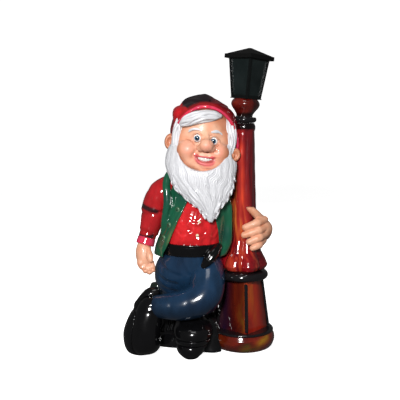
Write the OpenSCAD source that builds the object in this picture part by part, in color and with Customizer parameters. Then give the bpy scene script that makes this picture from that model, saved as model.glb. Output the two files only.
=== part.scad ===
// Garden gnome leaning on a lamp post with a lantern.
// Frame: +Z up, the figure faces -Y, the post stands at its left hand, +X.
// Castings are drawn where they stand. Places and sizes are in millimetres.

/* [Post] */
// Distance from the middle of the figure to the post's axis
post_x = 132; // [131:0.5:133]
// Radius of the round foot of the post
foot_r = 98; // [96:1:100]
// Height of the round foot of the post
foot_h = 50; // [48:1:52]
// Half diagonal of the square plinth at its foot
plinth_low_r = 80; // [76:1:82]
// Half diagonal of the square plinth at its top
plinth_top_r = 58; // [56:1:62]
// Radius of the ring over the plinth
ring_r = 76; // [74:1:77]
// Radius of the way for the wires down the post
wire_way_r = 12; // [11:0.5:13]

/* [Lantern] */
// Lean of the capital and the lantern towards +X, in degrees
lean = 4.5; // [0:0.5:5]
// Outside width of the lantern's cage at its floor
lantern_low_w = 63; // [61:1:65]
// Outside width of the lantern's cage at its top rail
lantern_top_w = 86; // [84:1:88]
// Height of the lantern's cage
cage_h = 118; // [114:1:120]
// Width of the roof across its eaves
roof_w = 104; // [102:1:106]
// Depth of the roof's eaves
eaves_h = 12; // [11:0.5:13]
// Rise of the roof above its eaves
roof_rise = 21; // [18:1:24]
// Thickness of the panes
pane_t = 2; // [1.5:0.1:2.4]

/* [Figure] */
// Glue line between two castings
bond = 0.25; // [0.2:0.05:0.4]
// Wall of the hollow castings
wall = 7; // [6:0.5:8]
// Radius of the eyeballs
eye_r = 12; // [11:0.5:13]
// Radius of the waistcoat's buttons
button_r = 8; // [7:0.5:9]

/* [Hidden] */

// Middle of the outline on the ground, which the drawing is moved to
middle = [1, -18.5, 0];

// Heights of the post's parts
ring_low_z = 212;
ring_high_z = 236.5;
shaft_top_z = 682;
neck_z = 701;
capital_h = 52;
web_t = 10;
plinth_turn = 5;
lobe_turn = 21;

// Lantern, measured up its own leaning axis from the top of the capital
swivel_gap = 0.3;
floor_t = 3;
floor_top = swivel_gap + floor_t;
cage_top = floor_top + cage_h;
cage_wall = 4;
corner_w = 7;
low_rail = 7;
high_rail = 8;
skirt_t = 4;
eaves_low = cage_top + 0.3 - eaves_h / 2;
tube_r = 5;
tube_bore_r = 3.5;
tube_gap = 0.08;
tube_low = -22;
tube_top = 20;
nut_across = 17;
nut_t = 4;
holder_r = 14;
holder_top = 46;
cap_r = 6.9;
cap_low = 26;
cap_gap = 0.08;
globe_r = 22.5;
globe_mid = 80;
barrel_r = 3;
hinge_out = roof_w / 2 + barrel_r + 0.3;
hinge_up = eaves_low + barrel_r;
pin_r = 1.4;
pin_gap = 0.06;
knuckle = 14;

// Foot of the post and its fittings
plate_r = 70;
plate_ledge = 14;
plate_low = 3;
plate_t = 4;
plate_screw_circle = 63;
screw_r = 2;
screw_head_r = 4;
grommet_z = 26;
grommet_flat = foot_r - 5;
grommet_r = 7;
grommet_bore_r = 4;
grommet_flange_r = 10;
grommet_t = 3;

// ---- Shapes that repeat ----

function held(list, i) = list[max(0, min(len(list) - 1, i))];
function curve(a, b, c, d, t) =
  0.5 * (2 * b + (c - a) * t + (2 * a - 5 * b + 4 * c - d) * t * t + (3 * b - a - 3 * c + d) * t * t * t);
// A smooth row of stations through the given ones
function through(list, steps) = [
  for (i = [0:len(list) - 2], s = [0:steps - 1])
    curve(held(list, i - 1), list[i], list[i + 1], held(list, i + 2), s / steps),
  list[len(list) - 1]
];
function unit(v) = v / norm(v);
function spot(s) = [s[0], s[1], s[2]];

// Joins rings of points, the first at the low end, into a closed skin
module skin(rings) {
  n = len(rings[0]);
  last = len(rings) - 1;
  sides = [
    for (i = [0:last - 1], k = [0:n - 1]) each
      let (a = i * n + k, b = i * n + (k + 1) % n) [[a, a + n, b + n], [a, b + n, b]]
  ];
  low = [[for (k = [0:n - 1]) k]];
  high = [[for (k = [0:n - 1]) last * n + n - 1 - k]];
  polyhedron([for (r = rings) each r], concat(low, sides, high));
}

// Level egg-shaped rings. A station is [z, x, y, half width, reach to the front, reach to the back].
// lobes waves round the ring stand out by depth, a share of its radius
module loft(stations, sides = 20, steps = 2, grow = 0, lobes = 0, depth = 0, turn = 0) {
  rows = through(stations, steps);
  last = len(rows) - 1;
  skin([
    for (i = [0:last])
      let (s = rows[i], z = s[0] + (i == 0 ? -grow : i == last ? grow : 0)) [
        for (k = [0:sides - 1])
          let (
            a = 360 * k / sides + turn,
            wave = 1 + depth * (lobes == 0 ? 0 : abs(cos(lobes * (a - turn) / 2)) - 1),
            reach = sin(a) < 0 ? s[4] : s[5]
          )
          [s[1] + (s[3] * wave + grow) * cos(a), s[2] + (reach * wave + grow) * sin(a), z]
      ]
  ]);
}

// A round limb along stations of [x, y, z, radius], with domed ends
module limb(stations, sides = 16, steps = 2, grow = 0, up = [0, 1, 0]) {
  rows = through(stations, steps);
  last = len(rows) - 1;
  dirs = [for (i = [0:last]) unit(spot(held(rows, i + 1)) - spot(held(rows, i - 1)))];
  function domed(i, sign, a) =
    concat(spot(rows[i]) + sign * dirs[i] * rows[i][3] * sin(a), [rows[i][3] * cos(a), i]);
  all = concat(
    [domed(0, -1, 72), domed(0, -1, 40)],
    [for (i = [0:last]) concat(rows[i], [i])],
    [domed(last, 1, 40), domed(last, 1, 72)]
  );
  skin([
    for (s = all)
      let (t = dirs[s[4]], u = unit(cross(up, t)), v = cross(t, u), r = s[3] + grow) [
        for (k = [0:sides - 1]) spot(s) + r * (cos(360 * k / sides) * u + sin(360 * k / sides) * v)
      ]
  ]);
}

module blob(at, radii, grow = 0, sides = 14) {
  translate(at) scale(radii + [grow, grow, grow]) sphere(1, $fn = sides);
}

// A casting whose facets are kept as they are drawn
module cast_in_one() {
  resize([0, 0, 0]) children();
}

// A straight-sided square tower, width low_w at the bottom and high_w at height h
module tower(low_w, high_w, h) {
  a = low_w / 2;
  b = high_w / 2;
  polyhedron(
    [[-a, -a, 0], [a, -a, 0], [a, a, 0], [-a, a, 0], [-b, -b, h], [b, -b, h], [b, b, h], [-b, b, h]],
    [[0, 1, 2, 3], [7, 6, 5, 4], [0, 4, 5, 1], [1, 5, 6, 2], [2, 6, 7, 3], [3, 7, 4, 0]]
  );
}

module tube(r, bore_r, low, high) {
  translate([0, 0, low]) difference() {
    cylinder(h = high - low, r = r, $fn = 64);
    translate([0, 0, -1]) cylinder(h = high - low + 2, r = bore_r, $fn = 64);
  }
}

// ---- Forms of the figure, which castings are cut from ----

module head_form(grow = 0) {
  loft([
    [537, 19, -52, 16, 20, 30], [548, 17, -44, 38, 42, 50], [572, 13, -30, 62, 66, 70],
    [600, 9, -16, 76, 80, 84], [632, 8, -8, 81, 84, 88], [664, 10, -6, 81, 84, 86],
    [694, 12, -6, 76, 78, 78], [718, 13, -8, 60, 62, 62], [736, 15, -12, 36, 38, 38],
    [744, 16, -14, 12, 12, 12]
  ], 20, 1, grow);
  blob([-33, -74, 606], [36, 34, 33], grow, 12);
  blob([52, -70, 595], [33, 34, 33], grow, 12);
  blob([19, -70, 562], [34, 32, 24], grow, 12);
}

module neck_form(grow = 0) {
  limb([[8, 4, 512, 42], [10, 0, 580, 48]], 14, 1, grow);
}

module nose_form(grow = 0) {
  blob([19, -110, 617], [18, 24, 17], grow, 12);
  blob([4, -99, 610], [12, 16, 11], grow, 10);
  blob([33, -97, 607], [11, 16, 11], grow, 10);
}

module ear_forms(grow = 0) {
  translate([-87, -12, 627]) rotate([0, 6, 15]) blob([0, 0, 0], [19, 18, 25], grow, 12);
  translate([97, -18, 592]) rotate([0, 6, -15]) blob([0, 0, 0], [19, 16, 20], grow, 12);
}

module face_opening() {
  translate([7, -34, 607]) rotate([90, 0, 0]) scale([75, 66, 1]) cylinder(h = 160, r = 1, $fn = 28);
}

module hat_form(grow = 0) {
  loft([
    [592, 8, 14, 84, 60, 82], [628, 10, 6, 95, 90, 96], [662, 12, 0, 101, 98, 100],
    [692, 13, -4, 95, 92, 92], [714, 14, -7, 84, 82, 82], [732, 14, -10, 65, 66, 68],
    [746, 14, -14, 44, 46, 48], [757, 15, -17, 24, 26, 28], [767, 16, -19, 6, 7, 7]
  ], 22, 1, grow);
  limb([[8, 4, 728, 40], [-22, 20, 730, 35], [-50, 30, 716, 28]], 14, 1, grow);
}

module hood_opening(extra = 0) {
  translate([14, 2, 614]) rotate([90, 0, 0]) scale([90 + extra, 117 + extra, 1])
    cylinder(h = 180, r = 1, $fn = 28);
}

module hair_fringe_form(grow = 0) {
  limb([
    [-50, -76, 682, 13], [-24, -88, 694, 21], [8, -90, 702, 24], [38, -82, 704, 20], [54, -76, 702, 13]
  ], 12, 1, grow, [0, 0, 1]);
}

module hair_right_form(grow = 0) {
  limb([[-56, -50, 692, 14], [-64, -52, 664, 17], [-68, -54, 632, 17], [-72, -54, 600, 18]], 12, 1, grow);
}

module hair_left_form(grow = 0) {
  limb([[84, -42, 690, 15], [90, -46, 660, 19], [91, -48, 628, 19], [86, -52, 596, 14]], 12, 1, grow);
}

module hair_back_form(grow = 0) {
  loft([
    [540, 8, 22, 52, 10, 44], [556, 8, 20, 72, 20, 62], [580, 8, 16, 88, 30, 76], [604, 8, 12, 94, 34, 88]
  ], 18, 1, grow);
}

module beard_form(grow = 0) {
  loft([
    [398, 31, -104, 6, 6, 10], [418, 29, -98, 18, 15, 24], [440, 25, -92, 38, 24, 40],
    [466, 17, -84, 72, 34, 50], [496, 6, -74, 94, 46, 56], [530, 4, -66, 101, 55, 60],
    [560, 3, -56, 105, 60, 60], [588, 2, -46, 103, 60, 56], [608, 3, -42, 98, 54, 40],
    [624, 4, -38, 90, 44, 26]
  ], 24, 1, grow);
}

module torso_form(grow = 0) {
  loft([
    [301, -22, -5, 86, 74, 64], [350, -18, -6, 91, 80, 66], [400, -11, -4, 92, 76, 66],
    [440, -4, 0, 92, 68, 64], [478, 0, 2, 92, 60, 60],
    [508, 4, 3, 82, 52, 54], [530, 6, 3, 60, 44, 48], [546, 7, 3, 44, 36, 40]
  ], 22, 1, grow);
}

module waistcoat_form(grow = 0) {
  loft([
    [284, -28, 0, 112, 84, 76], [312, -26, -3, 110, 88, 76], [350, -20, -5, 102, 90, 75],
    [400, -11, -3, 99, 84, 74], [440, -4, 0, 99, 76, 72], [478, 0, 2, 99, 67, 68],
    [508, 4, 3, 89, 59, 62], [530, 6, 3, 68, 52, 56], [543, 7, 3, 52, 44, 48]
  ], 22, 1, grow);
}

module sleeve_right_form(grow = 0) {
  limb([
    [-84, 4, 496, 34], [-114, 2, 472, 41], [-134, 1, 436, 40], [-144, -4, 396, 35],
    [-154, -11, 358, 29], [-162, -17, 334, 25]
  ], 16, 1, grow);
}

// The ways through the arms and legs, from the body to the wrists and ankles
module sleeve_right_way() {
  limb([[-80, 4, 480, 16], [-114, 2, 468, 32], [-138, 0, 420, 30], [-158, -14, 346, 20]], 10, 1);
}

module sleeve_left_form(grow = 0) {
  limb([[64, 10, 488, 38], [92, 34, 446, 35], [118, 66, 396, 31], [152, 78, 352, 28], [180, 62, 332, 25]],
    16, 1, grow);
}

module sleeve_left_way() {
  limb([[62, 10, 478, 22], [94, 36, 440, 26], [122, 70, 392, 22], [152, 78, 352, 19]], 10, 1);
}

module cuff_right_form(grow = 0) {
  limb([[-161, -17, 336, 27], [-165, -20, 322, 28]], 14, 1, grow);
}

module cuff_left_form(grow = 0) {
  limb([[176, 64, 333, 28], [188, 50, 330, 28]], 14, 1, grow);
}

module finger(knuckle_at, bend_at, tip_at, r, grow = 0) {
  limb([concat(knuckle_at, [r]), concat(bend_at, [r]), concat(tip_at, [r * 0.88])], 8, 1, grow, [0, 0, 1]);
}

module hand_right_form(grow = 0) {
  limb([[-168, -20, 322, 20], [-170, -26, 296, 25], [-166, -30, 270, 24], [-160, -32, 254, 18]], 12, 1, grow);
  for (f = [[-180, 266, 9.5], [-168, 254, 10], [-156, 250, 10], [-146, 256, 9]])
    limb([[f[0], -40, f[1] + 8, f[2]], [f[0] + 5, -46, f[1] - 10, f[2]]], 8, 1, grow);
  limb([[-154, -42, 300, 10], [-147, -54, 280, 10]], 8, 1, grow);
}

module hand_left_form(grow = 0) {
  limb([[188, 48, 332, 20], [194, 26, 346, 26], [192, 4, 362, 30], [188, -14, 366, 26]], 12, 1, grow);
  finger([194, -18, 394], [170, -44, 389], [134, -44, 374], 11.5, grow);
  finger([199, -16, 372], [174, -46, 366], [132, -48, 352], 12, grow);
  finger([198, -14, 350], [176, -48, 345], [146, -53, 332], 12, grow);
  finger([192, -12, 330], [176, -47, 323], [156, -56, 314], 11, grow);
  limb([[184, -12, 394, 13], [164, -36, 416, 12], [147, -44, 436, 10]], 8, 1, grow);
}

module hips_form(grow = 0) {
  loft([
    [168, -44, 6, 46, 36, 40], [182, -40, 6, 80, 54, 60], [204, -36, 4, 98, 66, 70],
    [230, -32, 1, 101, 73, 72], [258, -28, -2, 98, 76, 70], [284, -24, -4, 90, 75, 66],
    [300, -22, -5, 86, 74, 64]
  ], 22, 1, grow);
}

module leg_right_form(grow = 0) {
  limb([[-80, 4, 236, 54], [-76, 6, 186, 48], [-58, 0, 144, 41], [-38, -14, 116, 38]], 14, 1, grow);
}

module leg_right_way() {
  limb([[-70, 4, 226, 40], [-74, 6, 186, 38], [-54, 0, 140, 30]], 10, 1);
}

module leg_crossed_form(grow = 0) {
  limb([
    [16, -26, 252, 54], [22, -62, 214, 53], [8, -90, 174, 51], [-44, -98, 152, 45],
    [-96, -94, 147, 38], [-122, -90, 146, 34]
  ], 16, 1, grow);
}

module leg_crossed_way() {
  limb([[10, -24, 240, 34], [18, -60, 212, 38], [4, -88, 174, 36], [-50, -97, 152, 32], [-104, -92, 147, 22]],
    10, 1);
}

module boot_right_form(grow = 0) {
  loft([
    [50, -22, -72, 52, 64, 84], [62, -21, -72, 58, 69, 88], [80, -21, -70, 57, 66, 84],
    [96, -24, -58, 48, 54, 66], [110, -29, -38, 42, 44, 52], [124, -34, -24, 38, 38, 42]
  ], 22, 1, grow);
}

module sole_right_form(grow = 0) {
  loft([[36, -22, -72, 50, 60, 84], [40, -22, -72, 54, 66, 90], [52, -22, -72, 56, 68, 91]], 22, 1, grow);
}

module boot_left_form(grow = 0) {
  loft([
    [3, -164, -86, 20, 20, 20], [10, -164, -86, 36, 34, 34], [30, -163, -87, 47, 46, 46],
    [64, -164, -88, 48, 47, 46], [98, -159, -88, 45, 43, 42], [128, -151, -86, 41, 38, 38],
    [156, -143, -84, 36, 32, 32], [174, -137, -82, 24, 22, 22]
  ], 20, 1, grow);
}

// The sole stands behind the toe-down boot, and its heel rises above it
module sole_left_form(grow = 0) {
  loft([
    [0.5, -173, -80, 24, 26, 26], [8, -176, -78, 40, 36, 36], [30, -177, -78, 49, 46, 46],
    [66, -178, -79, 50, 47, 46], [100, -172, -79, 46, 42, 42], [130, -163, -76, 40, 36, 38]
  ], 20, 1, grow);
  limb([[-176, -62, 140, 22], [-150, -62, 172, 22], [-134, -62, 180, 18]], 10, 1, grow);
}

module shaft_form(grow = 0) {
  translate([post_x, 0, 0]) loft([
    [ring_high_z, 0, 0, 52, 52, 52], [244, 0, 0, 68, 68, 68], [256, 0, 0, 75, 75, 75],
    [272, 0, 0, 70, 70, 70],
    [296, 0, 0, 57, 57, 57], [335, 0, 0, 45, 45, 45], [400, 0, 0, 40, 40, 40], [500, 0, 0, 36, 36, 36],
    [600, 0, 0, 34, 34, 34], [648, 0, 0, 32, 32, 32]
  ], 36, 1, grow, 6, 0.14, lobe_turn);
  translate([post_x, 0, 0]) loft([
    [644, 0, 0, 28, 28, 28], [656, 0, 0, 29, 29, 29], [664, 0, 0, 33, 33, 33], [673, 0, 0, 33, 33, 33],
    [shaft_top_z, 0, 0, 28, 28, 28]
  ], 24, 1, grow);
}

function foot_rows() = concat([[0, 0]], through([
  [foot_r - 18, 0], [foot_r - 10, 4], [foot_r - 4, 13], [foot_r, 26], [foot_r - 1, 38], [foot_r - 6, foot_h]
], 2), [[0, foot_h]]);

module foot_form(grow = 0) {
  translate([post_x, 0, 0]) rotate_extrude($fn = 48) intersection() {
    offset(delta = grow) polygon(foot_rows());
    translate([0, -10]) square([foot_r + 20, foot_h + 20]);
  }
}

module plinth_form(grow = 0) {
  translate([post_x, 0, foot_h]) rotate([0, 0, 45 + plinth_turn])
    tower(plinth_low_r * sqrt(2) + 2 * grow, plinth_top_r * sqrt(2) + 2 * grow, ring_low_z - foot_h);
}

module stump_form(grow = 0) {
  loft([
    [0, -92, 34, 84, 44, 46], [16, -92, 34, 78, 42, 44], [60, -94, 36, 66, 38, 40],
    [120, -104, 38, 52, 33, 35], [176, -120, 42, 37, 26, 28], [186, -122, 42, 22, 16, 18]
  ], 16, 1, grow);
}

module mound_form(grow = 0) {
  loft([
    [0, -28, -70, 30, 72, 88], [12, -27, -72, 42, 68, 92], [26, -25, -74, 48, 64, 94],
    [36, -22, -74, 50, 60, 94]
  ], 18, 1, grow);
  loft([
    [0, -34, 6, 116, 50, 72], [20, -34, 6, 108, 50, 68], [40, -32, 6, 92, 40, 60], [46, -32, 6, 76, 30, 48]
  ], 20, 1, grow);
  loft([
    [0, 32, -44, 50, 40, 50], [22, 34, -44, 46, 34, 46], [60, 28, -36, 36, 26, 40], [98, 20, -26, 26, 20, 30]
  ], 16, 1, grow);
}

// The post from its foot to its capital, which the figure leans on
module post_forms(grow = bond) {
  foot_form(grow);
  translate([post_x, 0, 0]) cylinder(h = foot_h + 9, r = foot_r - 3.5, $fn = 48);
  plinth_form(grow);
  translate([post_x, 0, ring_low_z]) cylinder(h = ring_high_z - ring_low_z, r = ring_r + grow, $fn = 48);
  shaft_form(grow);
  translate([post_x, 0, shaft_top_z - 2]) cylinder(h = neck_z - shaft_top_z + 8, r = 37, $fn = 32);
}

// ---- Castings of the figure ----

module hat() {
  color([0.48, 0.03, 0.05]) cast_in_one() difference() {
    hat_form();
    head_form(bond);
    neck_form(bond);
    ear_forms(bond);
    hood_opening();
    hat_brim_form(bond);
    post_forms();
  }
}

// The rolled edge of the hat, an arch over the face from ear to ear
module hat_brim_form(grow = 0) {
  limb([for (a = [-8:17.25:199]) [14 + 92 * cos(a), -34 - 26 * sin(a), 614 + 119 * sin(a), 8]],
    8, 1, grow, [0, 1, 0]);
}

module hat_brim() {
  color([0.75, 0.08, 0.16]) cast_in_one() difference() {
    hat_brim_form();
    head_form(bond);
    ear_forms(bond);
    post_forms();
  }
}

module head() {
  color([0.91, 0.63, 0.48]) cast_in_one() difference() {
    union() {
      head_form();
      neck_form();
      nose_form();
      ear_forms();
    }
    torso_form(bond);
    eye_sockets();
    teeth_form(bond);
    post_forms();
    blob([10, 6, 640], [62, 60, 76], 0, 12);
    translate([9, 2, 480]) cylinder(h = 140, r = 28, $fn = 16);
  }
}

module eye_sockets() {
  blob([-7, -86, 640], [eye_r, eye_r, eye_r], 0.45, 20);
  blob([39, -82, 631], [eye_r, eye_r, eye_r], 0.45, 20);
}

module teeth_form(grow = 0) {
  blob([13, -92, 577], [22, 9, 7.5], grow, 12);
}

module eye_right() {
  color("white") translate([-7, -86, 640]) sphere(r = eye_r, $fn = 64);
}

module eye_left() {
  color("white") translate([39, -82, 631]) sphere(r = eye_r, $fn = 64);
}

module teeth() {
  color("white") cast_in_one() teeth_form();
}

module eyebrows() {
  color([0.93, 0.93, 0.95]) cast_in_one() difference() {
    union() {
      limb([[-30, -86, 660, 6], [-12, -92, 666, 7], [4, -94, 662, 6]], 8, 1, 0, [0, 0, 1]);
      limb([[34, -90, 656, 6], [50, -84, 657, 7], [62, -76, 650, 6]], 8, 1, 0, [0, 0, 1]);
    }
    head_form(bond);
    hair_fringe_form(bond);
  }
}

module hair_fringe() {
  color([0.93, 0.93, 0.95]) cast_in_one() difference() {
    hair_fringe_form();
    head_form(bond);
    hat_brim_form(bond);
    hat_shell_cut();
  }
}

module hat_shell_cut() {
  difference() {
    hat_form(bond);
    hood_opening(-bond);
  }
}

module hair_right() {
  color([0.93, 0.93, 0.95]) cast_in_one() difference() {
    hair_right_form();
    head_form(bond);
    ear_forms(bond);
    hat_brim_form(bond);
    hat_shell_cut();
    hair_fringe_form(bond);
    beard_form(bond);
  }
}

module hair_left() {
  color([0.93, 0.93, 0.95]) cast_in_one() difference() {
    hair_left_form();
    head_form(bond);
    ear_forms(bond);
    hat_brim_form(bond);
    hat_shell_cut();
    hair_fringe_form(bond);
    beard_form(bond);
    post_forms();
  }
}

module hair_back() {
  color([0.93, 0.93, 0.95]) cast_in_one() difference() {
    hair_back_form();
    head_form(bond);
    neck_form(bond);
    ear_forms(bond);
    hat_shell_cut();
    beard_form(bond);
    torso_form(bond);
    waistcoat_form(bond);
    post_forms();
  }
}

module beard() {
  color([0.93, 0.93, 0.95]) cast_in_one() difference() {
    beard_form();
    face_opening();
    head_form(bond);
    neck_form(bond);
    ear_forms(bond);
    torso_form(bond);
    waistcoat_form(bond);
    sleeve_right_form(bond);
    hat_brim_form(bond);
    hat_shell_cut();
    post_forms();
  }
}

module shirt_torso() {
  color([0.78, 0.04, 0.07]) cast_in_one() difference() {
    torso_form();
    blob([-8, 0, 420], [76, 54, 104], 0, 12);
    translate([-22, -5, 290]) cylinder(h = 60, r = 48, $fn = 16);
    translate([8, 3, 500]) cylinder(h = 60, r = 26, $fn = 16);
    post_forms();
  }
}

module shirt_buttons() {
  color("ivory") cast_in_one() difference() {
    for (b = [[-2, -81, 396], [-8, -87, 358]])
      blob(b, [4.5, 3.4, 4.5], 0, 10);
    torso_form(bond);
  }
}

module sleeve_right() {
  color([0.75, 0.04, 0.07]) cast_in_one() difference() {
    sleeve_right_form();
    torso_form(bond);
    cuff_right_form(bond);
    hand_right_form(bond);
    sleeve_right_way();
  }
}

module sleeve_left() {
  color([0.75, 0.04, 0.07]) cast_in_one() difference() {
    sleeve_left_form();
    torso_form(bond);
    cuff_left_form(bond);
    hand_left_form(bond);
    post_forms();
    sleeve_left_way();
  }
}

module cuff_right() {
  color([0.72, 0.05, 0.1]) cast_in_one() difference() {
    cuff_right_form();
    hand_right_form(bond);
    sleeve_right_way();
  }
}

module cuff_left() {
  color([0.72, 0.05, 0.1]) cast_in_one() difference() {
    cuff_left_form();
    hand_left_form(bond);
    post_forms();
  }
}

module hand_right() {
  color([0.91, 0.63, 0.48]) cast_in_one() difference() {
    hand_right_form();
    waistcoat_form(bond);
    hips_form(bond);
    leg_right_form(bond);
  }
}

module hand_left() {
  color([0.91, 0.63, 0.48]) cast_in_one() difference() {
    hand_left_form();
    post_forms();
  }
}

// Front opening of the waistcoat, wider over the belt
module waistcoat_opening() {
  rotate([90, 0, 0]) linear_extrude(height = 200) polygon([
    [-20, 570], [-38, 455], [-74, 374], [-98, 318], [-112, 292], [-104, 270],
    [58, 270], [60, 296], [54, 360], [44, 413], [40, 570]
  ]);
}

module waistcoat() {
  color([0.03, 0.27, 0.17]) cast_in_one() difference() {
    waistcoat_form();
    waistcoat_opening();
    torso_form(bond);
    belt_form(bond);
    hips_form(bond);
    leg_right_form(bond);
    leg_crossed_form(bond);
    sleeve_right_form(bond);
    sleeve_left_form(bond);
    neck_form(bond);
    post_forms();
  }
}

module button_at(at, turn) {
  translate(at) rotate([0, 0, turn]) scale([button_r, button_r * 0.6, button_r]) sphere(1, $fn = 14);
}

module waistcoat_buttons() {
  color([0.05, 0.2, 0.1]) cast_in_one() difference() {
    union() {
      button_at([-66, -72, 430], -38);
      button_at([-92, -59, 384], -52);
      button_at([-112, -46, 344], -62);
    }
    waistcoat_form(bond);
  }
}

module belt_form(grow = 0) {
  loft([
    [292, -23, -5, 92, 81, 70], [296, -23, -5, 94, 83, 72], [324, -21, -6, 96, 86, 73],
    [328, -21, -6, 94, 84, 71]
  ], 22, 1, grow);
}

module belt() {
  color([0.03, 0.03, 0.03]) cast_in_one() difference() {
    belt_form();
    torso_form(bond);
    hips_form(bond);
    leg_crossed_form(bond);
    leg_right_form(bond);
    hand_right_form(bond);
    post_forms();
  }
}

// The loose end of the belt, tucked through and hanging
module belt_tail() {
  color([0.03, 0.03, 0.03]) cast_in_one() difference() {
    limb([[52, -62, 318, 13], [40, -76, 304, 16], [24, -84, 284, 15], [12, -86, 268, 10]], 12, 1);
    belt_form(bond);
    hips_form(bond);
    torso_form(bond);
    leg_crossed_form(bond);
    waistcoat_form(bond);
  }
}

module trousers() {
  color([0.04, 0.12, 0.28]) cast_in_one() difference() {
    union() {
      hips_form();
      leg_right_form();
    }
    blob([-32, 2, 238], [80, 56, 44], 0, 12);
    translate([-22, -5, 260]) cylinder(h = 60, r = 48, $fn = 16);
    leg_right_way();
    boot_right_form(bond);
    leg_crossed_form(bond);
    post_forms();
  }
}

module trouser_leg_crossed() {
  color([0.04, 0.12, 0.28]) cast_in_one() difference() {
    leg_crossed_form();
    torso_form(bond);
    boot_left_form(bond);
    sole_left_form(bond);
    boot_right_form(bond);
    post_forms();
    leg_crossed_way();
  }
}

module boot_right() {
  color([0.02, 0.02, 0.02]) cast_in_one() difference() {
    boot_right_form();
    blob([-27, -60, 86], [38, 50, 24], 0, 12);
    translate([-34, -24, 80]) cylinder(h = 80, r = 20, $fn = 14);
    sole_right_form(bond);
    post_forms();
  }
}

module boot_left() {
  color([0.02, 0.02, 0.02]) cast_in_one() difference() {
    boot_left_form();
    blob([-158, -88, 82], [34, 30, 62], 0, 12);
    translate([-134, -90, 144]) rotate([0, 90, 0]) cylinder(h = 60, r = 16, center = true, $fn = 14);
  }
}

module boot_sole_right() {
  color([0.05, 0.05, 0.05]) cast_in_one() difference() {
    sole_right_form();
    post_forms();
  }
}

module boot_sole_left() {
  color([0.05, 0.05, 0.05]) cast_in_one() difference() {
    sole_left_form();
    boot_left_form(bond);
    stump_form(bond);
  }
}

module stump() {
  color([0.04, 0.07, 0.05]) cast_in_one() difference() {
    stump_form();
    leg_right_form(bond);
    hips_form(bond);
    boot_left_form(bond);
    boot_right_form(bond);
    sole_right_form(bond);
  }
}

module ground_mound() {
  color([0.03, 0.03, 0.03]) cast_in_one() difference() {
    mound_form();
    stump_form(bond);
    post_forms();
    boot_left_form(bond);
    sole_left_form(bond);
    boot_right_form(bond);
    sole_right_form(bond);
    leg_right_form(bond);
  }
}

// ---- Post ----

module post_foot() {
  color([0.4, 0.1, 0.04]) translate([post_x, 0, 0]) difference() {
    rotate_extrude($fn = 96) difference() {
      polygon(foot_rows());
      translate([0, -1]) square([plate_r + 0.2, plate_low + plate_t + 1]);
      square([plate_r - plate_ledge, foot_h - 8]);
      square([wire_way_r + 10, foot_h + 1]);
    }
    translate([0, plate_r - plate_ledge - 6, grommet_z]) rotate([-90, 0, 0])
      cylinder(h = 60, r = grommet_r, $fn = 48);
    translate([-16, grommet_flat, grommet_z - 14]) cube([32, 20, 28]);
    for (a = [45:90:315]) rotate([0, 0, a]) translate([plate_screw_circle, 0, plate_low])
      cylinder(h = plate_t + 8, r = screw_r + 0.05, $fn = 32);
  }
}

module post_foot_rim() {
  color([0.05, 0.05, 0.04]) difference() {
    translate([post_x, 0, foot_h]) rotate_extrude($fn = 96) polygon(concat(
      [[54, 0]], through([[foot_r - 7, 0], [foot_r - 4, 3], [foot_r - 6, 7], [foot_r - 12, 8]], 3), [[54, 6]]
    ));
    plinth_form(bond);
  }
}

module plinth() {
  color([0.42, 0.1, 0.04]) difference() {
    plinth_form();
    translate([post_x, 0, foot_h - 1]) rotate([0, 0, 45 + plinth_turn])
      tower(plinth_low_r * sqrt(2) - 2 * wall, plinth_top_r * sqrt(2) - 2 * wall, ring_low_z - foot_h - wall);
    translate([post_x, 0, ring_low_z - 20]) cylinder(h = 30, r = wire_way_r, $fn = 64);
  }
}

module plinth_corner_beads() {
  color([0.03, 0.03, 0.03]) cast_in_one() difference() {
    translate([post_x, 0, 0]) for (a = [0:90:270]) rotate([0, 0, a + plinth_turn])
      limb([[plinth_low_r - 2, 0, foot_h + 14, 5], [plinth_top_r + 1, 0, ring_low_z - 12, 5]], 8, 1);
    plinth_form(bond);
    leg_crossed_form(bond);
    leg_right_form(bond);
    hips_form(bond);
    boot_right_form(bond);
    mound_form(bond);
  }
}

module post_ring() {
  color([0.03, 0.03, 0.03]) translate([post_x, 0, 0]) rotate_extrude($fn = 96) difference() {
    union() {
      translate([0, ring_low_z]) square([ring_r - 14, ring_high_z - ring_low_z]);
      translate([ring_r - 12, (ring_low_z + ring_high_z) / 2]) circle(r = 12, $fn = 64);
    }
    square([wire_way_r, 400]);
  }
}

module post_shaft() {
  color([0.42, 0.07, 0.04]) cast_in_one() difference() {
    shaft_form();
    translate([post_x, 0, 200]) cylinder(h = 500, r = wire_way_r, $fn = 24);
  }
}

module leaning() {
  translate([post_x, 0, neck_z]) rotate([0, lean, 0]) children();
}

module post_collar() {
  color([0.03, 0.03, 0.03]) difference() {
    translate([post_x, 0, 0]) rotate_extrude($fn = 96) difference() {
      union() {
        translate([0, shaft_top_z + bond]) square([26, 36]);
        translate([27, shaft_top_z + 10]) circle(r = 9, $fn = 64);
      }
      square([wire_way_r, 900]);
    }
    leaning() translate([-60, -60, 0]) cube([120, 120, 40]);
  }
}

module capital() {
  color([0.38, 0.05, 0.04]) leaning() rotate_extrude($fn = 96) difference() {
    polygon(concat(
      [[0, bond]],
      through([
        [24, bond], [25, 7], [31, 17], [39, 27], [42.5, 36], [41, 44], [37, 49.5], [34, capital_h]
      ], 3),
      [[0, capital_h]]
    ));
    square([wire_way_r, capital_h - web_t]);
    square([tube_r + tube_gap, capital_h + 1]);
  }
}

module foot_closing_plate() {
  color([0.15, 0.15, 0.15]) translate([post_x, 0, plate_low]) difference() {
    cylinder(h = plate_t, r = plate_r, $fn = 96);
    for (a = [45:90:315]) rotate([0, 0, a]) translate([plate_screw_circle, 0, -1])
      cylinder(h = plate_t + 2, r = screw_r + 0.3, $fn = 24);
  }
}

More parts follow.
